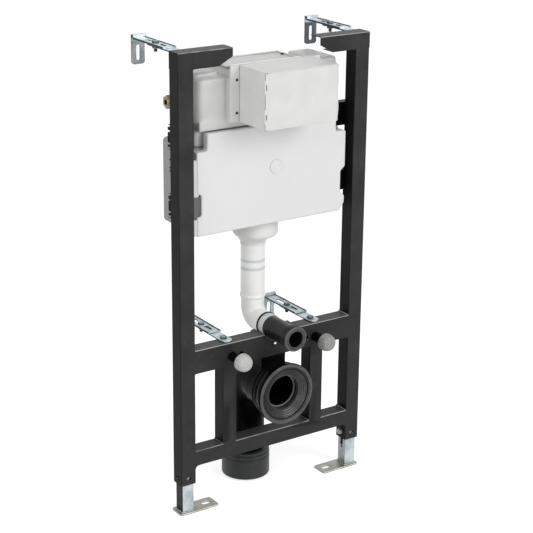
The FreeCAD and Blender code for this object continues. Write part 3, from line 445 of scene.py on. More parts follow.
seams = []
for side in sides.values():
    x = side * post_inner
    for low, high in (mid_rail_span, lower_rail_span):
        seams += [seam_through(x, high), seam_through(x, low), seam_behind(x, x, low, high)]
    for mullion_x in (side * 102.0, side * 139.0):
        seams += [seam_through(mullion_x, mullion_high), seam_through(mullion_x, mullion_low)]
    for z in (mullion_low, mullion_high):
        seams.append(seam_behind(side * 104.0, side * 137.0, z, z))
    seams += [seam_behind(side * 214.0, side * 248.0, arm_low, arm_low), seam_through(x, arm_low)]
weld("frame_welds", seams, 2.0, 1.7, coat, "frame", "black_steel")

# Telescopic legs
# Square tube welded to a pressed foot plate, zinc plated and passivated, clamped in the posts by a bolt.
# The plating shows soft clouds, fine scratches and a faint blue and yellow cast.


def zinc_plate(name, dark, light, warmth, outer=0.0, side=0.0, top=0.0, front=0.0, crease=0.75):
    """Zinc plate in clouds and brushed grain, with painted shade.

    The last five say how much painted shade some places get: the legs' outer faces, which lie 246 mm from
    the centre line, all sides, all tops, the fronts below the brackets' lips, and the crevices.
    """
    material, start, shader, place = finish(name, {"Metallic": 0.85})
    clouds = grain(start, place, 0.03, 4.0)
    spangle = start.node("TexVoronoi", {}, {"Vector": place, "Scale": 900.0}, "Color")
    flake = start.node("SeparateColor", {}, {"Color": spangle}, 0)
    streaks = start.node("Mapping", {}, {"Vector": place, "Scale": (1.0, 1.0, 0.08)})
    scratches = grain(start, streaks, 0.0016, 2.0)
    x, _, z = place.xyz()
    from_centre = (x - centre_x / 1000).math("ABSOLUTE")
    # Painted shade on the legs' outer faces.
    outermost = from_centre.between(0.2451, 0.2457) * (0.55 + clouds * 0.9)
    tone = (clouds.between(0.3, 0.7) * 0.6 + flake * 0.1 + scratches.between(0.3, 0.7) * 0.3).clamp()
    facing_x, facing_y, facing_z = facing(start)
    # Painted shade on the sides, on the fronts below the brackets' lips and on the tops.
    painted_side_shade = facing_x.math("ABSOLUTE").between(0.6, 0.9)
    below_lip = 1 - z.between(-0.006, 0.0)
    forward = (0.0 - facing_y).between(0.8, 0.95) * below_lip
    upward = facing_z.between(0.8, 0.95)
    plain = tone.colour(grey(dark, warmth * 1.6), grey(light, warmth))
    painted_shade = (outermost * outer + painted_side_shade * side + forward * front + upward * top
                + crevice(start, 5.0) * crease).clamp()
    wire(shader, Base_Color=painted_shade.colour(plain, grey(0.1, -0.25)),
         Roughness=0.26 + clouds * 0.2 + flake * 0.14,
         Normal=bump(start, scratches + flake * 0.5 + clouds, 0.2, 0.0002))
    return material


def ease(material, body, slot, width, *names):
    """Replace CAD nodes by copies with their sharp edges eased as on the real pieces."""
    for name in names:
        add_piece(name + "_formed", softened(merged(name), width), material, body, slot, name)


# The turn from the z axis to the axis that a turned piece lies along
turns = {"x": Matrix(((0, 0, 1), (1, 0, 0), (0, 1, 0))), "y": Matrix(((1, 0, 0), (0, 0, 1), (0, -1, 0))),
         "z": Matrix.Identity(3)}


def rounded(profile):
    """A closed line of (along, radius, rounding) points with its corners rounded, in millimetres."""
    points = []
    for number, (along, radius, *rest) in enumerate(profile):
        here = Vector((along, radius))
        if not rest:
            points.append(here)
            continue
        rounding = rest[0]
        before = Vector(profile[number - 1][:2]) - here
        after = Vector(profile[(number + 1) % len(profile)][:2]) - here
        first = here + before.normalized() * min(rounding, before.length * 0.49)
        last = here + after.normalized() * min(rounding, after.length * 0.49)
        steps = max(3, int(rounding))
        for step in range(steps + 1):
            share = step / steps
            points.append(first * (1 - share) ** 2 + here * 2 * share * (1 - share) + last * share ** 2)
    return points


def lathe(profile, place, axis, steps=96):
    """A mesh turned round an axis through a place, from a closed line in millimetres."""
    line = rounded(profile)
    shape = bmesh.new()
    rings = []
    for step in range(steps):
        angle = 2 * math.pi * step / steps
        across = (math.cos(angle), math.sin(angle))
        rings.append([shape.verts.new(at(*place) + turns[axis] @ Vector(
            (across[0] * radius, across[1] * radius, along)) / 1000) for along, radius in line])
    for ring, after in zip(rings, rings[1:] + rings[:1]):
        for number in range(len(line)):
            further = (number + 1) % len(line)
            if line[number][1] > 1e-6 or line[further][1] > 1e-6:
                shape.faces.new((ring[number], ring[further], after[further], after[number]))
    bmesh.ops.remove_doubles(shape, verts=shape.verts, dist=1e-7)
    bmesh.ops.dissolve_degenerate(shape, edges=shape.edges, dist=1e-8)
    return smooth(closed(shape, "turned"))


def hexagon(place, axis, flats, height, flip=1, bore=0.0):
    """A hexagon head or nut from its seat, chamfered at its free end; flip -1 turns it round."""
    shape = bmesh.new()
    half, count, chamfer = flats / 2, 72, 0.58
    crown = half * 0.94
    hole = max(bore, 0.01)
    loops = [[] for _ in range(5)]
    for step in range(count):
        angle = 2 * math.pi * step / count
        edge = half / math.cos((angle + math.pi / 6) % (math.pi / 3) - math.pi / 6)
        slope = height - max(0.0, edge - crown) * chamfer
        for loop, (radius, along) in zip(loops, ((hole, 0.0), (edge, 0.0), (edge, slope),
                                                 (crown, height), (hole, height))):
            across = Vector((math.cos(angle) * radius, math.sin(angle) * radius, along * flip)) / 1000
            loop.append(shape.verts.new(at(*place) + turns[axis] @ across))
    for loop, further in zip(loops, loops[1:] + loops[:1]):
        for step in range(count):
            after = (step + 1) % count
            shape.faces.new((loop[step], loop[after], further[after], further[step]))
    return smooth(closed(shape, "hexagon"), 20)


# Painted shade on the legs' outer faces and sides, and on the feet's sides and tops.
leg_zinc = zinc_plate("zinc on the legs", 0.58, 0.83, -0.1, 1.0, 0.3)
foot_zinc = zinc_plate("dull zinc on the feet", 0.64, 0.86, 0.03, side=0.35, top=0.36)
leg_x, leg_y, leg_half, plate_top = 231.0, 19, 15, 4.8
slot_half, slot_low, slot_high, hole_height = 4.5, 55, 150, 17
bolt_height, washer, shank = 92, 1.5, 5
for name, side in sides.items():
    body = name + "_leg_body"
    slot = side_block(side, (208, leg_y - slot_half, slot_low), (219, leg_y + slot_half, slot_high))
    hole_place = (side * (leg_x + leg_half), leg_y, hole_height)
    hole = lathe([(-6, 0), (-6, 2.6), (6, 2.6), (6, 0)], hole_place, "x", 24)
    leg = combined("DIFFERENCE", merged(name + "_leg"), slot, hole)
    add_piece(name + "_leg_formed", softened(leg, 1.2), leg_zinc, body, "zinc", name + "_leg")
    ease(foot_zinc, body, "zinc", 0.8, name + "_foot_plate")
    near, far = side * leg_x - leg_half, side * leg_x + leg_half
    foot_seams = [((x, 5, plate_top), (x, 33, plate_top)) for x in (near, far)]
    foot_seams += [((near + 1, y, plate_top), (far - 1, y, plate_top)) for y in (4, 34)]
    weld(name + "_foot_weld", foot_seams, 1.9, 1.8, foot_zinc, body, "zinc")
    seat = side * (post_inner - washer)
    washer_place = (min(seat, side * post_inner), leg_y, bolt_height)
    shank_place = (min(seat, side * (post_inner - washer + shank)), leg_y, bolt_height)
    bolt = joined(hexagon((seat, leg_y, bolt_height), "x", 13, 5.3, -side),
                  lathe([(0, 0), (0, 8, 0.4), (washer, 8, 0.4), (washer, 0)], washer_place, "x", 48),
                  lathe([(0, 0), (0, 4, 0.3), (shank, 4, 0.3), (shank, 0)], shank_place, "x", 32))
    add_piece(name + "_clamp_bolt", bolt, leg_zinc, "frame", "zinc", name + "_leg_clamp")

# Wall brackets
# Flat strips and folded slotted brackets of 2.5 mm sheet, zinc plated, held by M8 hexagon bolts and nuts.
# The thread of each bolt is a helical ridge on its shank.


def thread_tree():
    """A helical ridge along z from the origin, turned and moved to its place."""
    tree, start, sizes, keys = new_tree("helical thread", Turns="Float", Pitch="Float", Radius="Float",
                                        Ridge="Float", Place="Vector", Turn="Vector", Material="Material")
    helix = start.node("GeometryNodeCurveSpiral", {},
                       {"Resolution": 20, "Rotations": sizes["Turns"], "Start Radius": sizes["Radius"],
                        "End Radius": sizes["Radius"], "Height": sizes["Turns"] * sizes["Pitch"]})
    upright = start.node("GeometryNodeSetCurveNormal", {"mode": "Z_UP"}, {"Curve": helix})
    profile = start.node("GeometryNodeCurvePrimitiveCircle", {},
                         {"Resolution": 4, "Radius": sizes["Ridge"]})
    ridge = start.node("GeometryNodeCurveToMesh", {}, {"Curve": upright, "Profile Curve": profile,
                                                       "Fill Caps": True})
    moved = start.node("GeometryNodeTransform", {}, {"Geometry": ridge, "Translation": sizes["Place"],
                                                     "Rotation": sizes["Turn"]})
    end_tree(tree, moved, sizes["Material"])
    return tree, keys


helix_tree, helix_keys = thread_tree()
# The same turns as angles, which the thread's tree takes
lean = {"x": (0.0, math.pi / 2, 0.0), "y": (-math.pi / 2, 0.0, 0.0), "z": (0.0, 0.0, 0.0)}


def threaded_rod(place, axis, length, size, pitch, material, bore=0.0):
    """A rod with a chamfered end and a thread along all of it, from a place in the drawing."""
    root = size / 2 - pitch * 0.55
    core = lathe([(0, bore), (0, root, 0.2), (length, root, pitch * 0.6), (length, bore)], place, axis, 40)
    ridge = pitch * 0.42
    thread = grown(helix_tree, helix_keys, bpy.data.meshes.new("empty"), material, {
        "Turns": (length - 2 * ridge) / pitch, "Pitch": pitch / 1000, "Radius": (root + ridge * 0.4) / 1000,
        "Ridge": ridge / 1000, "Place": at(*place) + turns[axis] @ Vector((0, 0, ridge / 1000)),
        "Turn": lean[axis]})
    return joined(core, smooth(thread, 50))


# Painted shade on the sides and crevices of brackets and bolts, and on the upper brackets' fronts,
# the right one's more than the left one's.
lower_zinc = zinc_plate("zinc on the lower brackets", 0.56, 0.94, -0.1, side=0.95, crease=1.0)
bracket_tones = {("lower", name): lower_zinc for name in sides}
for name, shade in {"left": 0.45, "right": 0.86}.items():
    bracket_tones["upper", name] = zinc_plate("zinc on the upper %s bracket" % name, 0.62, 0.98, -0.1,
                                              side=0.95, front=shade, crease=0.35)
bolt_zinc = zinc_plate("zinc on the bracket bolts", 0.34, 0.74, -0.1, side=0.5, crease=1.0)
bolt_size, bolt_pitch, flats, head_height, nut_height = 8, 1.25, 13, 5.3, 6.5
wall_bolt_y, frame_bolt_y = 126, 28
two_sheets, lip_height, lip_drop = 5.5, 10, 0.0026
strip_levels = {"upper": (231.0, 1070.0), "lower": (120.5, 401.5)}
for level, (across, low) in strip_levels.items():
    for name, side in sides.items():
        bracket_zinc = bracket_tones[level, name]
        x = side * across
        word = "%s_%s" % (level, name)
        ease(bracket_zinc, "frame", "zinc", 0.5, word + "_strip")
        folded = merged(word + "_bracket")
        lip_top = at(0, 0, low + lip_height).z
        for vertex in folded.vertices:
            if abs(vertex.co.z - lip_top) < 2e-5:
                vertex.co.z -= lip_drop
        add_piece(word + "_bracket_formed", softened(folded, 0.5), bracket_zinc, "frame", "zinc",
                  word + "_bracket")
        heads = [((x, wall_bolt_y, low + two_sheets), head_height, 1),
                 ((x, wall_bolt_y, low), nut_height, -1)]
        rods = [((x, wall_bolt_y, low - 14), 14 + two_sheets)]
        if level == "lower":
            heads.append(((x, frame_bolt_y, low + 3), head_height, 1))
            rods.append(((x, frame_bolt_y, low - 17), 20))
        else:
            heads.append(((x, frame_bolt_y, low), nut_height, -1))
            rods.append(((x, frame_bolt_y, low - 12), 15))
        bolts = [hexagon(place, "z", flats, height, flip) for place, height, flip in heads]
        bolts += [threaded_rod(place, "z", length, bolt_size, bolt_pitch, bolt_zinc)
                  for place, length in rods]
        add_piece(word + "_bolt_set", joined(*bolts), bolt_zinc, "frame", "zinc", word + "_bolts")

# Pan fixing
# Two M12 studs through the mid rail, each with a nut behind it, and in front of it a black plastic sleeve
# and a domed protection cap of recycled grey plastic, the left one paler.


def moulded(name, dark, light, rough, grain_size=0.0007, depth=0.00012, warmth=0.0, specular=0.5):
    """Injection moulded plastic or rubber with a fine spark eroded surface and painted shade in crevices.
    """
    material, start, shader, place = finish(name, {"Specular IOR Level": specular})
    clouds = grain(start, place, 0.05)
    skin = grain(start, place, grain_size, 2.0)
    plain = clouds.between(0.25, 0.75).colour(grey(dark, warmth), grey(light, warmth))
    # Painted shade darkens the crevices.
    wire(shader, Base_Color=(crevice(start, 4.0) * 0.6).colour(plain, grey(dark * 0.55, 0.02)),
         Roughness=rough - 0.05 + clouds * 0.1 + skin * 0.04,
         Normal=bump(start, skin + clouds, 0.3, depth))
    return material


def speckled(name, dark, light):
    """Recycled plastic of the caps: pale with fine darker flecks."""
    material, start, shader, place = finish(name, {"Specular IOR Level": 0.35})
    flecks = start.node("TexVoronoi", {}, {"Vector": place, "Scale": 520.0}, "Color")
    shade = start.node("SeparateColor", {}, {"Color": flecks}, 1)
    clouds = grain(start, place, 0.012)
    skin = grain(start, place, 0.0016, 3.0)
    tone = (shade * 0.45 + clouds * 0.35 + skin * 0.3).clamp()
    wire(shader, Base_Color=tone.colour(grey(dark, 0.01), grey(light, 0.015)),
         Roughness=0.5 + clouds * 0.15, Normal=bump(start, skin, 0.35, 0.0003))
    return material


black_plastic = moulded("black plastic", 0.04, 0.09, 0.22, specular=0.03)
cap_plastics = {"left": speckled("pale cap plastic", 0.6, 0.8),
                "right": speckled("grey cap plastic", 0.42, 0.66)}
stud_spacing, stud_height = 230.0, 368.5
stud_length, stud_size, stud_pitch = 125, 12, 1.75
for name, side in sides.items():
    x, z = side * stud_spacing / 2, stud_height
    stud = joined(threaded_rod((x, -50, z), "y", stud_length, stud_size, stud_pitch, leg_zinc),
                  hexagon((x, frame_back, z), "y", 19, 10))
    add_piece(name + "_threaded_stud", stud, leg_zinc, "frame", "zinc", name + "_stud")
    ribs = [(-39.9, 6.4), (-39.9, 11, 0.5)]
    for y in range(-36, -4, 4):
        ribs += [(y, 11, 0.3), (y + 0.6, 10.3, 0.3), (y + 1.6, 10.3, 0.3), (y + 2.2, 11, 0.3)]
    sleeve = lathe(ribs + [(0, 11, 0.5), (0, 6.4)], (x, 0, z), "y", 64)
    add_piece(name + "_ribbed_sleeve", sleeve, black_plastic, "frame", "black_plastic",
              name + "_stud_sleeve")
    dome = lathe([(-40, 6.4), (-40, 19.8, 0.6), (-41.0, 19.8, 0.2), (-41.0, 20.5, 0.6), (-49.5, 20.5, 3.0),
                  (-61.5, 17.2, 9.0), (-64, 6.0, 4.0), (-64, 0), (-50.3, 0), (-50.3, 6.4)], (x, 0, z), "y")
    add_piece(name + "_domed_cap", dome, cap_plastics[name], "frame", "grey_plastic", name + "_stud_cap")

# Concealed cistern
# The tank is blow moulded in white polyethylene, so its edges are soft and its forms run into each other.
# A lid with a raised rim closes the top; a small black disc on it is painted shade for a small hole.


def blown(mesh, cell, passes):
    """A form as a blow moulding: an even skin, with every edge softened."""

    def prepare(item):
        skin = item.modifiers.new("skin", "REMESH")
        skin.mode = "VOXEL"
        skin.voxel_size = cell / 1000
        soften = item.modifiers.new("soften", "SMOOTH")
        soften.factor = 0.5
        soften.iterations = passes
    result = evaluated(mesh, prepare, coat)
    result.shade_smooth()
    return result


tank_plastic = moulded("white tank plastic", 0.8, 0.84, 0.36, 0.0015, 0.0002, 0.008)
webs = [side_block(side, (160, 25.2, 905), (100, 60, 1006), 3) for side in sides.values()]
add_piece("blown_tank", blown(joined(merged("cistern_tank"), *webs), 2.2, 9), tank_plastic, "frame",
          "white_plastic", "cistern_tank")
lid_seat, rim_top = 1019, 1023
lid = [block((-97, 46, lid_seat), (97, 144, lid_seat + 0.9), 0.3)]
for x1, y1, x2, y2 in ((-97, 46, 97, 50), (-97, 140, 97, 144), (-97, 46, -92.5, 144), (92.5, 46, 97, 144)):
    lid.append(block((x1, y1, lid_seat), (x2, y2, rim_top), 0.8))
add_piece("rimmed_lid", joined(*lid), tank_plastic, "frame", "white_plastic", "tank_lid")
# Painted shade: a small black disc where a small hole in the lid shows dark.
hole_shade = lathe([(-2.6, 0), (-2.6, 3.2), (0.5, 3.2, 0.3), (0.5, 0)], (88.5, 113, rim_top - 0.6), "z", 32)
add_piece("lid_catch", hole_shade, black_plastic, "frame", "black_plastic")

# Foam jacket and panel
# Expanded polystyrene mouldings around the lower tank against condensation, with a bead structure. The
# panel has a plain raised ring on its front and runs on in a strip beside the left post.


def bead_foam(name, level, warmth=0.0):
    """Closed beads with fine darker seams between them, and painted shade in crevices."""
    material, start, shader, place = finish(name, {"Specular IOR Level": 0.2})
    cells = start.node("TexVoronoi", {"feature": "DISTANCE_TO_EDGE"}, {"Vector": place, "Scale": 330.0},
                       "Distance")
    seams = 1 - cells.between(0.0, 0.09)
    clouds = grain(start, place, 0.05)
    tone = (seams * 0.45 + clouds * 0.3).clamp()
    plain = tone.colour(grey(level, warmth), grey(level - 0.05, warmth))
    # Painted shade darkens the crevices.
    wire(shader, Base_Color=(crevice(start, 4.0) * 0.7).colour(plain, grey(level * 0.5, 0.02)),
         Roughness=0.62 + clouds * 0.12,
         Normal=bump(start, 1 - seams, 0.22, 0.00022))
    return material


foam = bead_foam("white bead foam", 0.89)
grey_foam = bead_foam("grey bead foam", 0.61, 0.012)
ring_place = (7.5, 0, 794)
panel_front = 11.0


def on_rim(place):
    """Whether a place lies on the outline of the panel's front, away from the ring in its middle."""
    middle, clear = at(*ring_place), 0.06
    away = (Vector((place.x, 0, place.z)) - Vector((middle.x, 0, middle.z))).length
    return place.y < at(0, panel_front - 0.4, 0).y and away > clear


add_piece("rounded_panel", softened(merged("insulation_panel"), 2.6, 3, on_rim), foam, "frame", "foam",
          "insulation_panel")
ring = [(10.6, 0), (10.6, 16.6), (9.4, 16.2, 0.4), (9.0, 15.2, 0.5), (9.0, 13.6, 0.5), (9.9, 13.0, 0.3),
        (9.9, 8.6, 0.3), (9.2, 8.0, 0.4), (9.2, 5.0, 0.5), (9.9, 4.2, 0.3), (9.9, 0)]
add_piece("raised_ring", lathe(ring, ring_place, "y", 72), foam, "frame", "foam")
lips = [block((-209, 12.4, low), (-192, 23.9, high), 3.0) for low, high in ((664, 702), (752.2, 836))]
add_piece("left_panel_lip", joined(*lips), foam, "frame", "foam")
dress(grey_foam, "tank_jacket")

# Access box
# A protective box of white plastic in front of the tank's neck, screwed on by its flange. Its cover has a
# raised edge and two lugs at each side, the left ones with a slot. Thin dark plates are painted shade in
# the gap behind the cover and in the slots.

box_plastic = moulded("white box plastic", 0.82, 0.85, 0.35, 0.0012, 0.0001, 0.008)
shaded_plastic = moulded("slot shadow", 0.3, 0.36, 0.6, warmth=0.02)
# The ridge along the flange's top is paler than the box, a painted highlight.
ridge_plastic = moulded("bright ridge plastic", 0.92, 0.94, 0.35, 0.0012, 0.0001, 0.004)
ease(box_plastic, "frame", "white_plastic", 0.7, "access_flange", "access_box")
ridge = block((-116, 8.2, 1033), (68, 9.9, 1036), 0.5)
add_piece("flange_ridge", ridge, ridge_plastic, "frame", "white_plastic")
edge, front, low, high = 94, -97.0, 909.0, 1034.0
cover = [block((-edge, front + 0.9, low), (edge, front + 2.3, high), 0.5)]
for x1, z1, x2, z2 in ((-edge, low, -87.5, high), (91, low, edge, high),
                       (-edge, high - 2, edge, high), (-edge, low, edge, low + 2)):
    cover.append(block((x1, front + 0.3, z1), (x2, front + 2.3, z2), 0.6))
# Painted shade: a dark plate behind the cover's edge and a dark mark in each left lug's slot.
shade_plates = [block((-94.1, front + 2.2, low + 0.4), (93.6, front + 2.8, high - 0.4), 0.1, 1)]
for lug_low, lug_high in ((922.0, 956.0), (987.0, 1018.0)):
    cover.append(block((-95.6, front + 0.8, lug_low), (-91.0, front + 9, lug_high), 1.2))
    cover.append(block((-95.6, front + 0.1, lug_low), (-88.4, front + 2, lug_high), 0.7))
    cover.append(block((91.0, front + 0.8, lug_low), (95.4, front + 9, lug_high), 1.3))
    middle = (lug_low + lug_high) / 2
    shade_plates.append(block((-93.6, front, middle - 6), (-91.2, front + 0.5, middle + 6), 0.1, 1))
add_piece("lugged_cover", joined(*cover), box_plastic, "frame", "white_plastic", "access_cover")
add_piece("lug_slots", joined(*shade_plates), shaded_plastic, "frame", "black_plastic")

heads = []
for side in sides.values():
    for z in (929.5, 1002.0):
        heads.append(lathe([(0.2, 0), (0.2, 3.0, 0.3), (-1.2, 2.6, 0.7), (-1.2, 1.0, 0.2), (-0.5, 0.7, 0.1),
                            (-0.5, 0)], (side * 101.0, 5, z), "y", 32))
add_piece("flange_screw_set", joined(*heads), black_plastic, "frame", "black_plastic", "flange_screws")

# Side clips
# Black plastic blocks behind the posts with teeth, which hold the cistern between the posts. A grey insert
# fills the notch in the panel's left edge.

# The first four teeth are on the lower block. The last three are set too low: they stand free below the
# upper block, which reaches from 857 to 911 mm.
clip_teeth = (712, 719, 735, 743, 808, 815, 833)
block_end, block_cut = 0.2475, 0.0125
for name, side in sides.items():
    toothed = merged(name + "_clips")
    for vertex in toothed.vertices:
        outward = vertex.co.x - centre_x / 1000
        if abs(outward) > block_end:
            vertex.co.x -= math.copysign(block_cut, outward)
    teeth = [plate([(side * 235, z - 2.8), (side * 241, z), (side * 235, z + 2.8)], 49, 59, 0.3)
             for z in clip_teeth]
    add_piece(name + "_toothed_clips", joined(softened(toothed, 0.5), *teeth), black_plastic, "frame",
              "black_plastic", name + "_clips")
insert_plastic = moulded("grey insert plastic", 0.33, 0.39, 0.45, warmth=0.015)
insert = block((-211.6, 16, 702.4), (-187.6, 23.9, 751.8), 0.6)
add_piece("left_notch_insert", insert, insert_plastic, "frame", "grey_plastic")

# Water inlet
# A turned brass thread with a hexagon, screwed into the left side of the tank. Its bore is guessed, because
# only the thread is seen.


def brass():
    """Turned brass, dulled and stained in places."""
    material, start, shader, place = finish("brass", {"Metallic": 1.0})
    clouds = grain(start, place, 0.01)
    stain = grain(start, place, 0.004, 5.0).between(0.5, 0.75)
    tarnish = (clouds * 0.6 + stain * 0.5).clamp()
    wire(shader, Base_Color=tarnish.colour((0.34, 0.28, 0.19, 1), (0.17, 0.15, 0.11, 1)),
         Roughness=0.25 + clouds * 0.2)
    return material


brass_metal = brass()
inlet_y, inlet_z, bore = 112, 946, 6.0
inlet = joined(threaded_rod((-216, inlet_y, inlet_z), "x", 26, 19, 1.8, brass_metal, bore),
               hexagon((-214.5, inlet_y, inlet_z), "x", 27, 9, 1, bore))
add_piece("threaded_inlet", inlet, brass_metal, "frame", "brass", "inlet_fitting")

# Flush line
# Bowl, pipe and elbow of white polyethylene with a push-in bead, a black seal, a white clamp ring and a
# black rubber connector for the pan in a saddle on the mid rail.


def pipe_white():
    """Pipe plastic with two faint printed bands round the middle of the upright run."""
    material, start, shader, place = finish("white pipe plastic", {"Specular IOR Level": 0.45})
    clouds = grain(start, place, 0.05)
    skin = grain(start, place, 0.002, 2.0)
    height = place.xyz()[2]
    bands = 0.0
    for z in (536.5, 556.0):
        from_band = (height - (z - floor_z) / 1000).math("ABSOLUTE")
        bands = bands + (1 - from_band.between(0.001, 0.0055))
    plain = clouds.between(0.25, 0.75).colour(grey(0.93, 0.006), grey(0.96, 0.006))
    wire(shader, Base_Color=(bands * 0.75).clamp().colour(plain, grey(0.76, -0.05)),
         Roughness=0.28 + clouds * 0.1, Normal=bump(start, skin + clouds, 0.25, 0.0001))
    return material


pipe_plastic = pipe_white()
ring_plastic = moulded("pale ring plastic", 0.76, 0.82, 0.4, warmth=-0.02)
black_rubber = moulded("black rubber", 0.08, 0.14, 0.3, 0.0009, 0.0002, specular=0.2)
# Greyer than the black rubber, for the seal and the connector's front ring.
greyish_rubber = moulded("worn black rubber", 0.2, 0.29, 0.26, 0.0009, 0.0001, -0.02, specular=0.5)
bowl_plastic = moulded("flush bowl plastic", 0.86, 0.9, 0.34, 0.0015, 0.0002, 0.006)
dress(bowl_plastic, "flush_outlet")
dress(pipe_plastic, "flush_pipe", "flush_elbow")
pipe_axis = (0, 92.5, 0)
connector_height = 413.7
connector_axis = (0, 0, connector_height)
bead = [(463, 25.5), (463, 28.6, 0.6), (465.5, 30.2, 1.2), (470, 30.2, 1.2), (472, 28.8, 0.6), (472, 25.5)]
add_piece("pipe_bead", lathe(bead, pipe_axis, "z"), pipe_plastic, "frame", "grey_plastic", "pipe_coupling")
packing = [(30, 24.5), (30, 28.5, 0.9), (34, 28.5, 0.9), (34, 24.5)]
add_piece("elbow_seal_ring", lathe(packing, connector_axis, "y"), black_rubber, "frame", "black_rubber",
          "elbow_seal")
clamp = [(12, 24.5), (12, 26.2, 0.8), (15, 27.0, 0.8), (27, 27.0, 0.8), (30, 26.4, 0.6), (30, 24.5)]
add_piece("clamp_ring", lathe(clamp, connector_axis, "y"), ring_plastic, "frame", "grey_plastic",
          "connector_ring")
mouth = [(-80.0, 19.0), (-87.4, 19.2, 0.8), (-88.0, 20.4, 0.6), (-88.0, 21.6, 0.4), (-86.6, 22.4, 0.3),
         (-86.6, 23.2, 0.3), (-88.0, 24.2, 0.5), (-88.0, 27.6, 1.4), (-86.0, 29.6, 0.8), (-84.6, 29.6),
         (-84.6, 24.0), (-80.0, 24.0)]
add_piece("connector_front_ring", lathe(mouth, connector_axis, "y"), greyish_rubber, "frame", "black_rubber")
barrel = [(-84.0, 19.0), (-84.0, 28.6), (-83.8, 30.0, 0.6), (-79.6, 30.0, 0.8), (-78.6, 28.2, 0.4),
          (-77.6, 28.2, 0.4), (-76.8, 30.0, 0.7), (-74.6, 29.6, 0.8), (-73.6, 26.0, 1.0)]
for rib in (-71.0, -66.0):
    barrel += [(rib - 0.6, 25.2, 0.4), (rib + 0.2, 26.6, 0.6), (rib + 1.6, 26.6, 0.6),
               (rib + 2.4, 25.2, 0.4)]
barrel += [(-20.0, 25.0, 1.0), (12, 25.0, 0.6), (12, 19.0)]
add_piece("rubber_connector", lathe(barrel, connector_axis, "y"), black_rubber, "frame", "black_plastic",
          "flush_connector")
screw_height = 376.7
connector = (0, connector_height)
hug = arc(connector, 25.4, -26, -154, 24)
foot = (arc(connector, 33, -154, -103, 10) + arc((0, screw_height), 6.6, -180, 0, 12)
        + arc(connector, 33, -77, -26, 10))
lip = arc(connector, 31.4, -26, -154, 24) + arc(connector, 33.4, -154, -26, 24)
saddle = joined(plate(hug + foot, -4, -0.3, 0.7), plate(lip, -5, -3, 0.5),
                block((-12, -1, 380), (12, 11, 388), 0.8))
add_piece("half_collar", saddle, black_rubber, "frame", "black_plastic", "connector_saddle")
# The screw head is near white and free of crevice shade, a painted glint.
screw_zinc = zinc_plate("bright screw zinc", 0.9, 1.0, 0.0, crease=0.0)
screw = [(-2.5, 0), (-2.5, 3.5, 0.2), (-4.6, 3.4, 0.8), (-5.2, 1.6, 0.5), (-5.2, 0)]
add_piece("saddle_screw_head", lathe(screw, (0, 0, screw_height), "y", 32), screw_zinc, "frame", "zinc",
          "saddle_screw")

# Soil line
# A ribbed rubber seal on a black connector, with a black polyethylene bend down to the outlet. A black
# saddle under the mid rail holds the connector.

soil_axis = (0, 0, 267)
skirt = [(-30, 60), (-30, 68.5, 0.6), (-43.6, 71.0, 0.8), (-44.0, 69.8, 0.3), (-44.8, 69.8, 0.3),
         (-45.2, 73.5, 1.0), (-52.0, 73.5, 1.6), (-52.0, 60)]
add_piece("seal_skirt", lathe(skirt, soil_axis, "y", 128), black_plastic, "frame", "grey_rubber")
seal = [(-31, 41.0), (-31, 66.0), (-50.6, 66.0), (-50.8, 72.4, 0.5), (-52.8, 72.6, 0.8), (-54, 70.6, 1.2),
        (-54, 65.0, 1.6), (-52.4, 64.2, 0.4), (-50.4, 64.6, 0.6)]
for step in range(5):
    radius = 64.6 - step * 4.6
    along = -52.2 + step * 2.2
    seal += [(along + 0.9, radius - 1.0, 0.2), (along - 0.9, radius - 1.9, 0.3),
             (along - 0.7, radius - 2.7, 0.3), (along + 1.6, radius - 3.6, 0.3)]
seal += [(-42.0, 41.0, 1.0)]
add_piece("ribbed_seal", lathe(seal, soil_axis, "y", 128), greyish_rubber, "frame", "grey_rubber", "pan_seal")
shell = [(-30, 41), (-30, 68.5, 0.6), (-26.2, 68.5, 0.5), (-25.6, 67.8, 0.3), (-24.8, 68.5, 0.5),
         (-20, 68.5, 1.0), (-19.6, 66.5, 0.6), (-14, 66.5, 1.2), (-13.6, 60, 0.8), (-9.4, 60, 0.8),
         (-9, 65, 1.2), (-7, 65, 0.4), (-6.6, 64.3, 0.2), (-6.2, 65, 0.4), (-4, 65, 1.0), (-4, 60.4, 0.8),
         (30, 60, 1.0), (30.4, 58, 0.8), (37, 58, 1.2), (37, 55, 0.6), (55, 55, 0.6), (55, 41)]
add_piece("pan_socket", lathe(shell, soil_axis, "y", 128), black_plastic, "frame", "black_plastic",
          "pan_connector")
# The inner lip deep in the bore is pale grey, a painted highlight on black rubber.
lip_rubber = moulded("pale lip rubber", 0.42, 0.5, 0.3)
inner_lip = [(-27, 41.5), (-27, 37.6, 1.2), (-24.2, 37.6, 1.2), (-24.2, 41.5)]
add_piece("socket_inner_lip", lathe(inner_lip, soil_axis, "y"), lip_rubber, "frame", "grey_rubber")
dress(black_plastic, "soil_bend", "soil_drop")
ease(black_plastic, "frame", "black_plastic", 1.0, "bend_clip")
outlet_plastic = moulded("grey black outlet plastic", 0.18, 0.23, 0.42, warmth=-0.08, specular=0.3)
collar = [(3, 51), (3, 57.4, 0.6), (4, 58, 0.6), (50, 58, 0.8), (51, 56, 0.5), (53.6, 56, 0.5),
          (54.6, 58, 1.3), (60.4, 58, 1.5), (61.4, 55.6, 0.6), (63.4, 55.6, 0.6), (64.4, 57.2, 1.2),
          (70, 57.2, 1.8), (70, 41), (55, 41), (55, 51)]
add_piece("outlet_socket", lathe(collar, (0, 119, 0), "z", 112), outlet_plastic, "frame", "black_plastic",
          "outlet_collar")

# Studio
# A pale floor under the feet, a white world, and three soft square lamps: a strong one in front, one at the
# left and a weak one above.

floor_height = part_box("left_foot_plate")[0].z


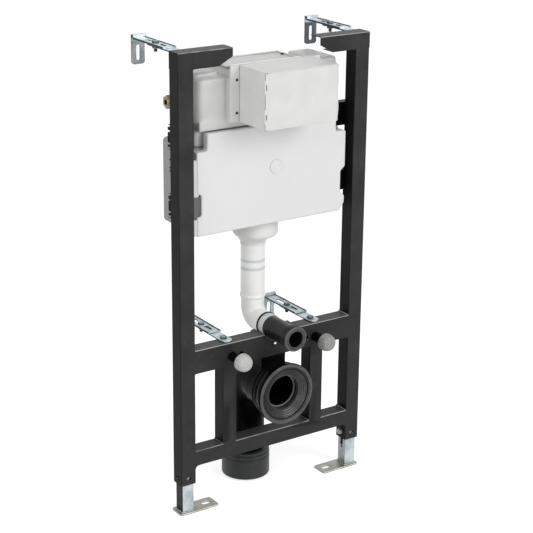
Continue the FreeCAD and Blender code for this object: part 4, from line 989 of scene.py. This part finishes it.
def seen_directly(start):
    """1 for what the camera, a gloss or clear plastic sees, 0 for what lights the object."""
    seen = start.node("LightPath", {}, {}, "Is Camera Ray")
    for ray in ("Is Glossy Ray", "Is Transmission Ray"):
        seen = seen.math("MAXIMUM", start.node("LightPath", {}, {}, ray))
    return seen


def studio_floor():
    """A floor that looks white and keeps the object's shadow."""
    reach = 6.0
    corners = ((-reach, -reach), (reach, -reach), (reach, reach), (-reach, reach))
    mesh = bpy.data.meshes.new("floor")
    mesh.from_pydata([(x, y, floor_height) for x, y in corners], [], [(0, 1, 2, 3)])
    item = bpy.data.objects.new("floor", mesh)
    bpy.context.scene.collection.objects.link(item)
    material = bpy.data.materials.new("floor")
    material.use_nodes = True
    tree = material.node_tree
    tree.nodes.clear()
    start = Channel(tree)
    plain = start.node("BsdfDiffuse", {}, {"Color": (0.75, 0.75, 0.75, 1)})
    glow = start.node("Emission", {}, {"Color": (1, 1, 1, 1), "Strength": 0.62})
    lifted = start.node("AddShader", {}, {0: plain, 1: glow})
    surface = start.node("MixShader", {}, {0: seen_directly(start), 1: plain, 2: lifted})
    output = tree.nodes.new("ShaderNodeOutputMaterial")
    tree.links.new(surface.socket, output.inputs["Surface"])
    mesh.materials.append(material)


studio_floor()

world = bpy.data.worlds.new("studio")
bpy.context.scene.world = world
world.use_nodes = True
world_tree = world.node_tree
world_tree.nodes.clear()
start = Channel(world_tree)
light = start.node("Background", {}, {"Color": (1, 1, 1, 1), "Strength": 0.48})
white = start.node("Background", {}, {"Color": (1, 1, 1, 1), "Strength": 1.0})
backdrop = start.node("MixShader", {}, {0: seen_directly(start), 1: light, 2: white})
output = world_tree.nodes.new("ShaderNodeOutputWorld")
world_tree.links.new(backdrop.socket, output.inputs["Surface"])

lamp_target = Vector((0.23, -0.15, -0.53))


def lamp(name, place, size, power):
    """A square soft lamp that points at the middle of the object."""
    data = bpy.data.lights.new(name, "AREA")
    data.shape = "SQUARE"
    data.size = size
    data.energy = power
    item = bpy.data.objects.new(name, data)
    bpy.context.scene.collection.objects.link(item)
    item.location = place
    item.rotation_euler = (Vector(place) - lamp_target).to_track_quat("Z", "Y").to_euler()


lamp("front lamp", (1.6, -3.6, 1.4), 2.2, 76.0)
lamp("left lamp", (-2.8, -1.4, 0.6), 2.0, 36.0)
lamp("top lamp", (-0.6, -0.8, 2.6), 2.0, 13.0)

# Camera
# It stands at the photo's angle. Its place and lens were worked out from the lines of the steel frame and
# the standard sizes of the fittings.

azimuth = math.radians(-33.8)
elevation = math.radians(19.039)
roll = math.radians(0.563)
camera_place = Vector((-1.614932, -2.928296, 0.626696))
focal_pixels = 1534.694
photo_pixels = 533
sensor_width = 36.0

back = Vector((math.sin(azimuth) * math.cos(elevation), -math.cos(azimuth) * math.cos(elevation),
               math.sin(elevation)))
level_right = Vector((math.cos(azimuth), math.sin(azimuth), 0))
level_up = back.cross(level_right)
right = math.cos(roll) * level_right + math.sin(roll) * level_up
up = math.cos(roll) * level_up - math.sin(roll) * level_right
camera_data = bpy.data.cameras.new("photo camera")
camera_data.sensor_width = sensor_width
camera_data.lens = focal_pixels / photo_pixels * sensor_width
camera = bpy.data.objects.new("photo camera", camera_data)
bpy.context.scene.collection.objects.link(camera)
camera.matrix_world = Matrix.Translation(camera_place) @ Matrix((right, up, back)).transposed().to_4x4()
bpy.context.scene.camera = camera
bpy.context.scene.view_settings.view_transform = "Standard"
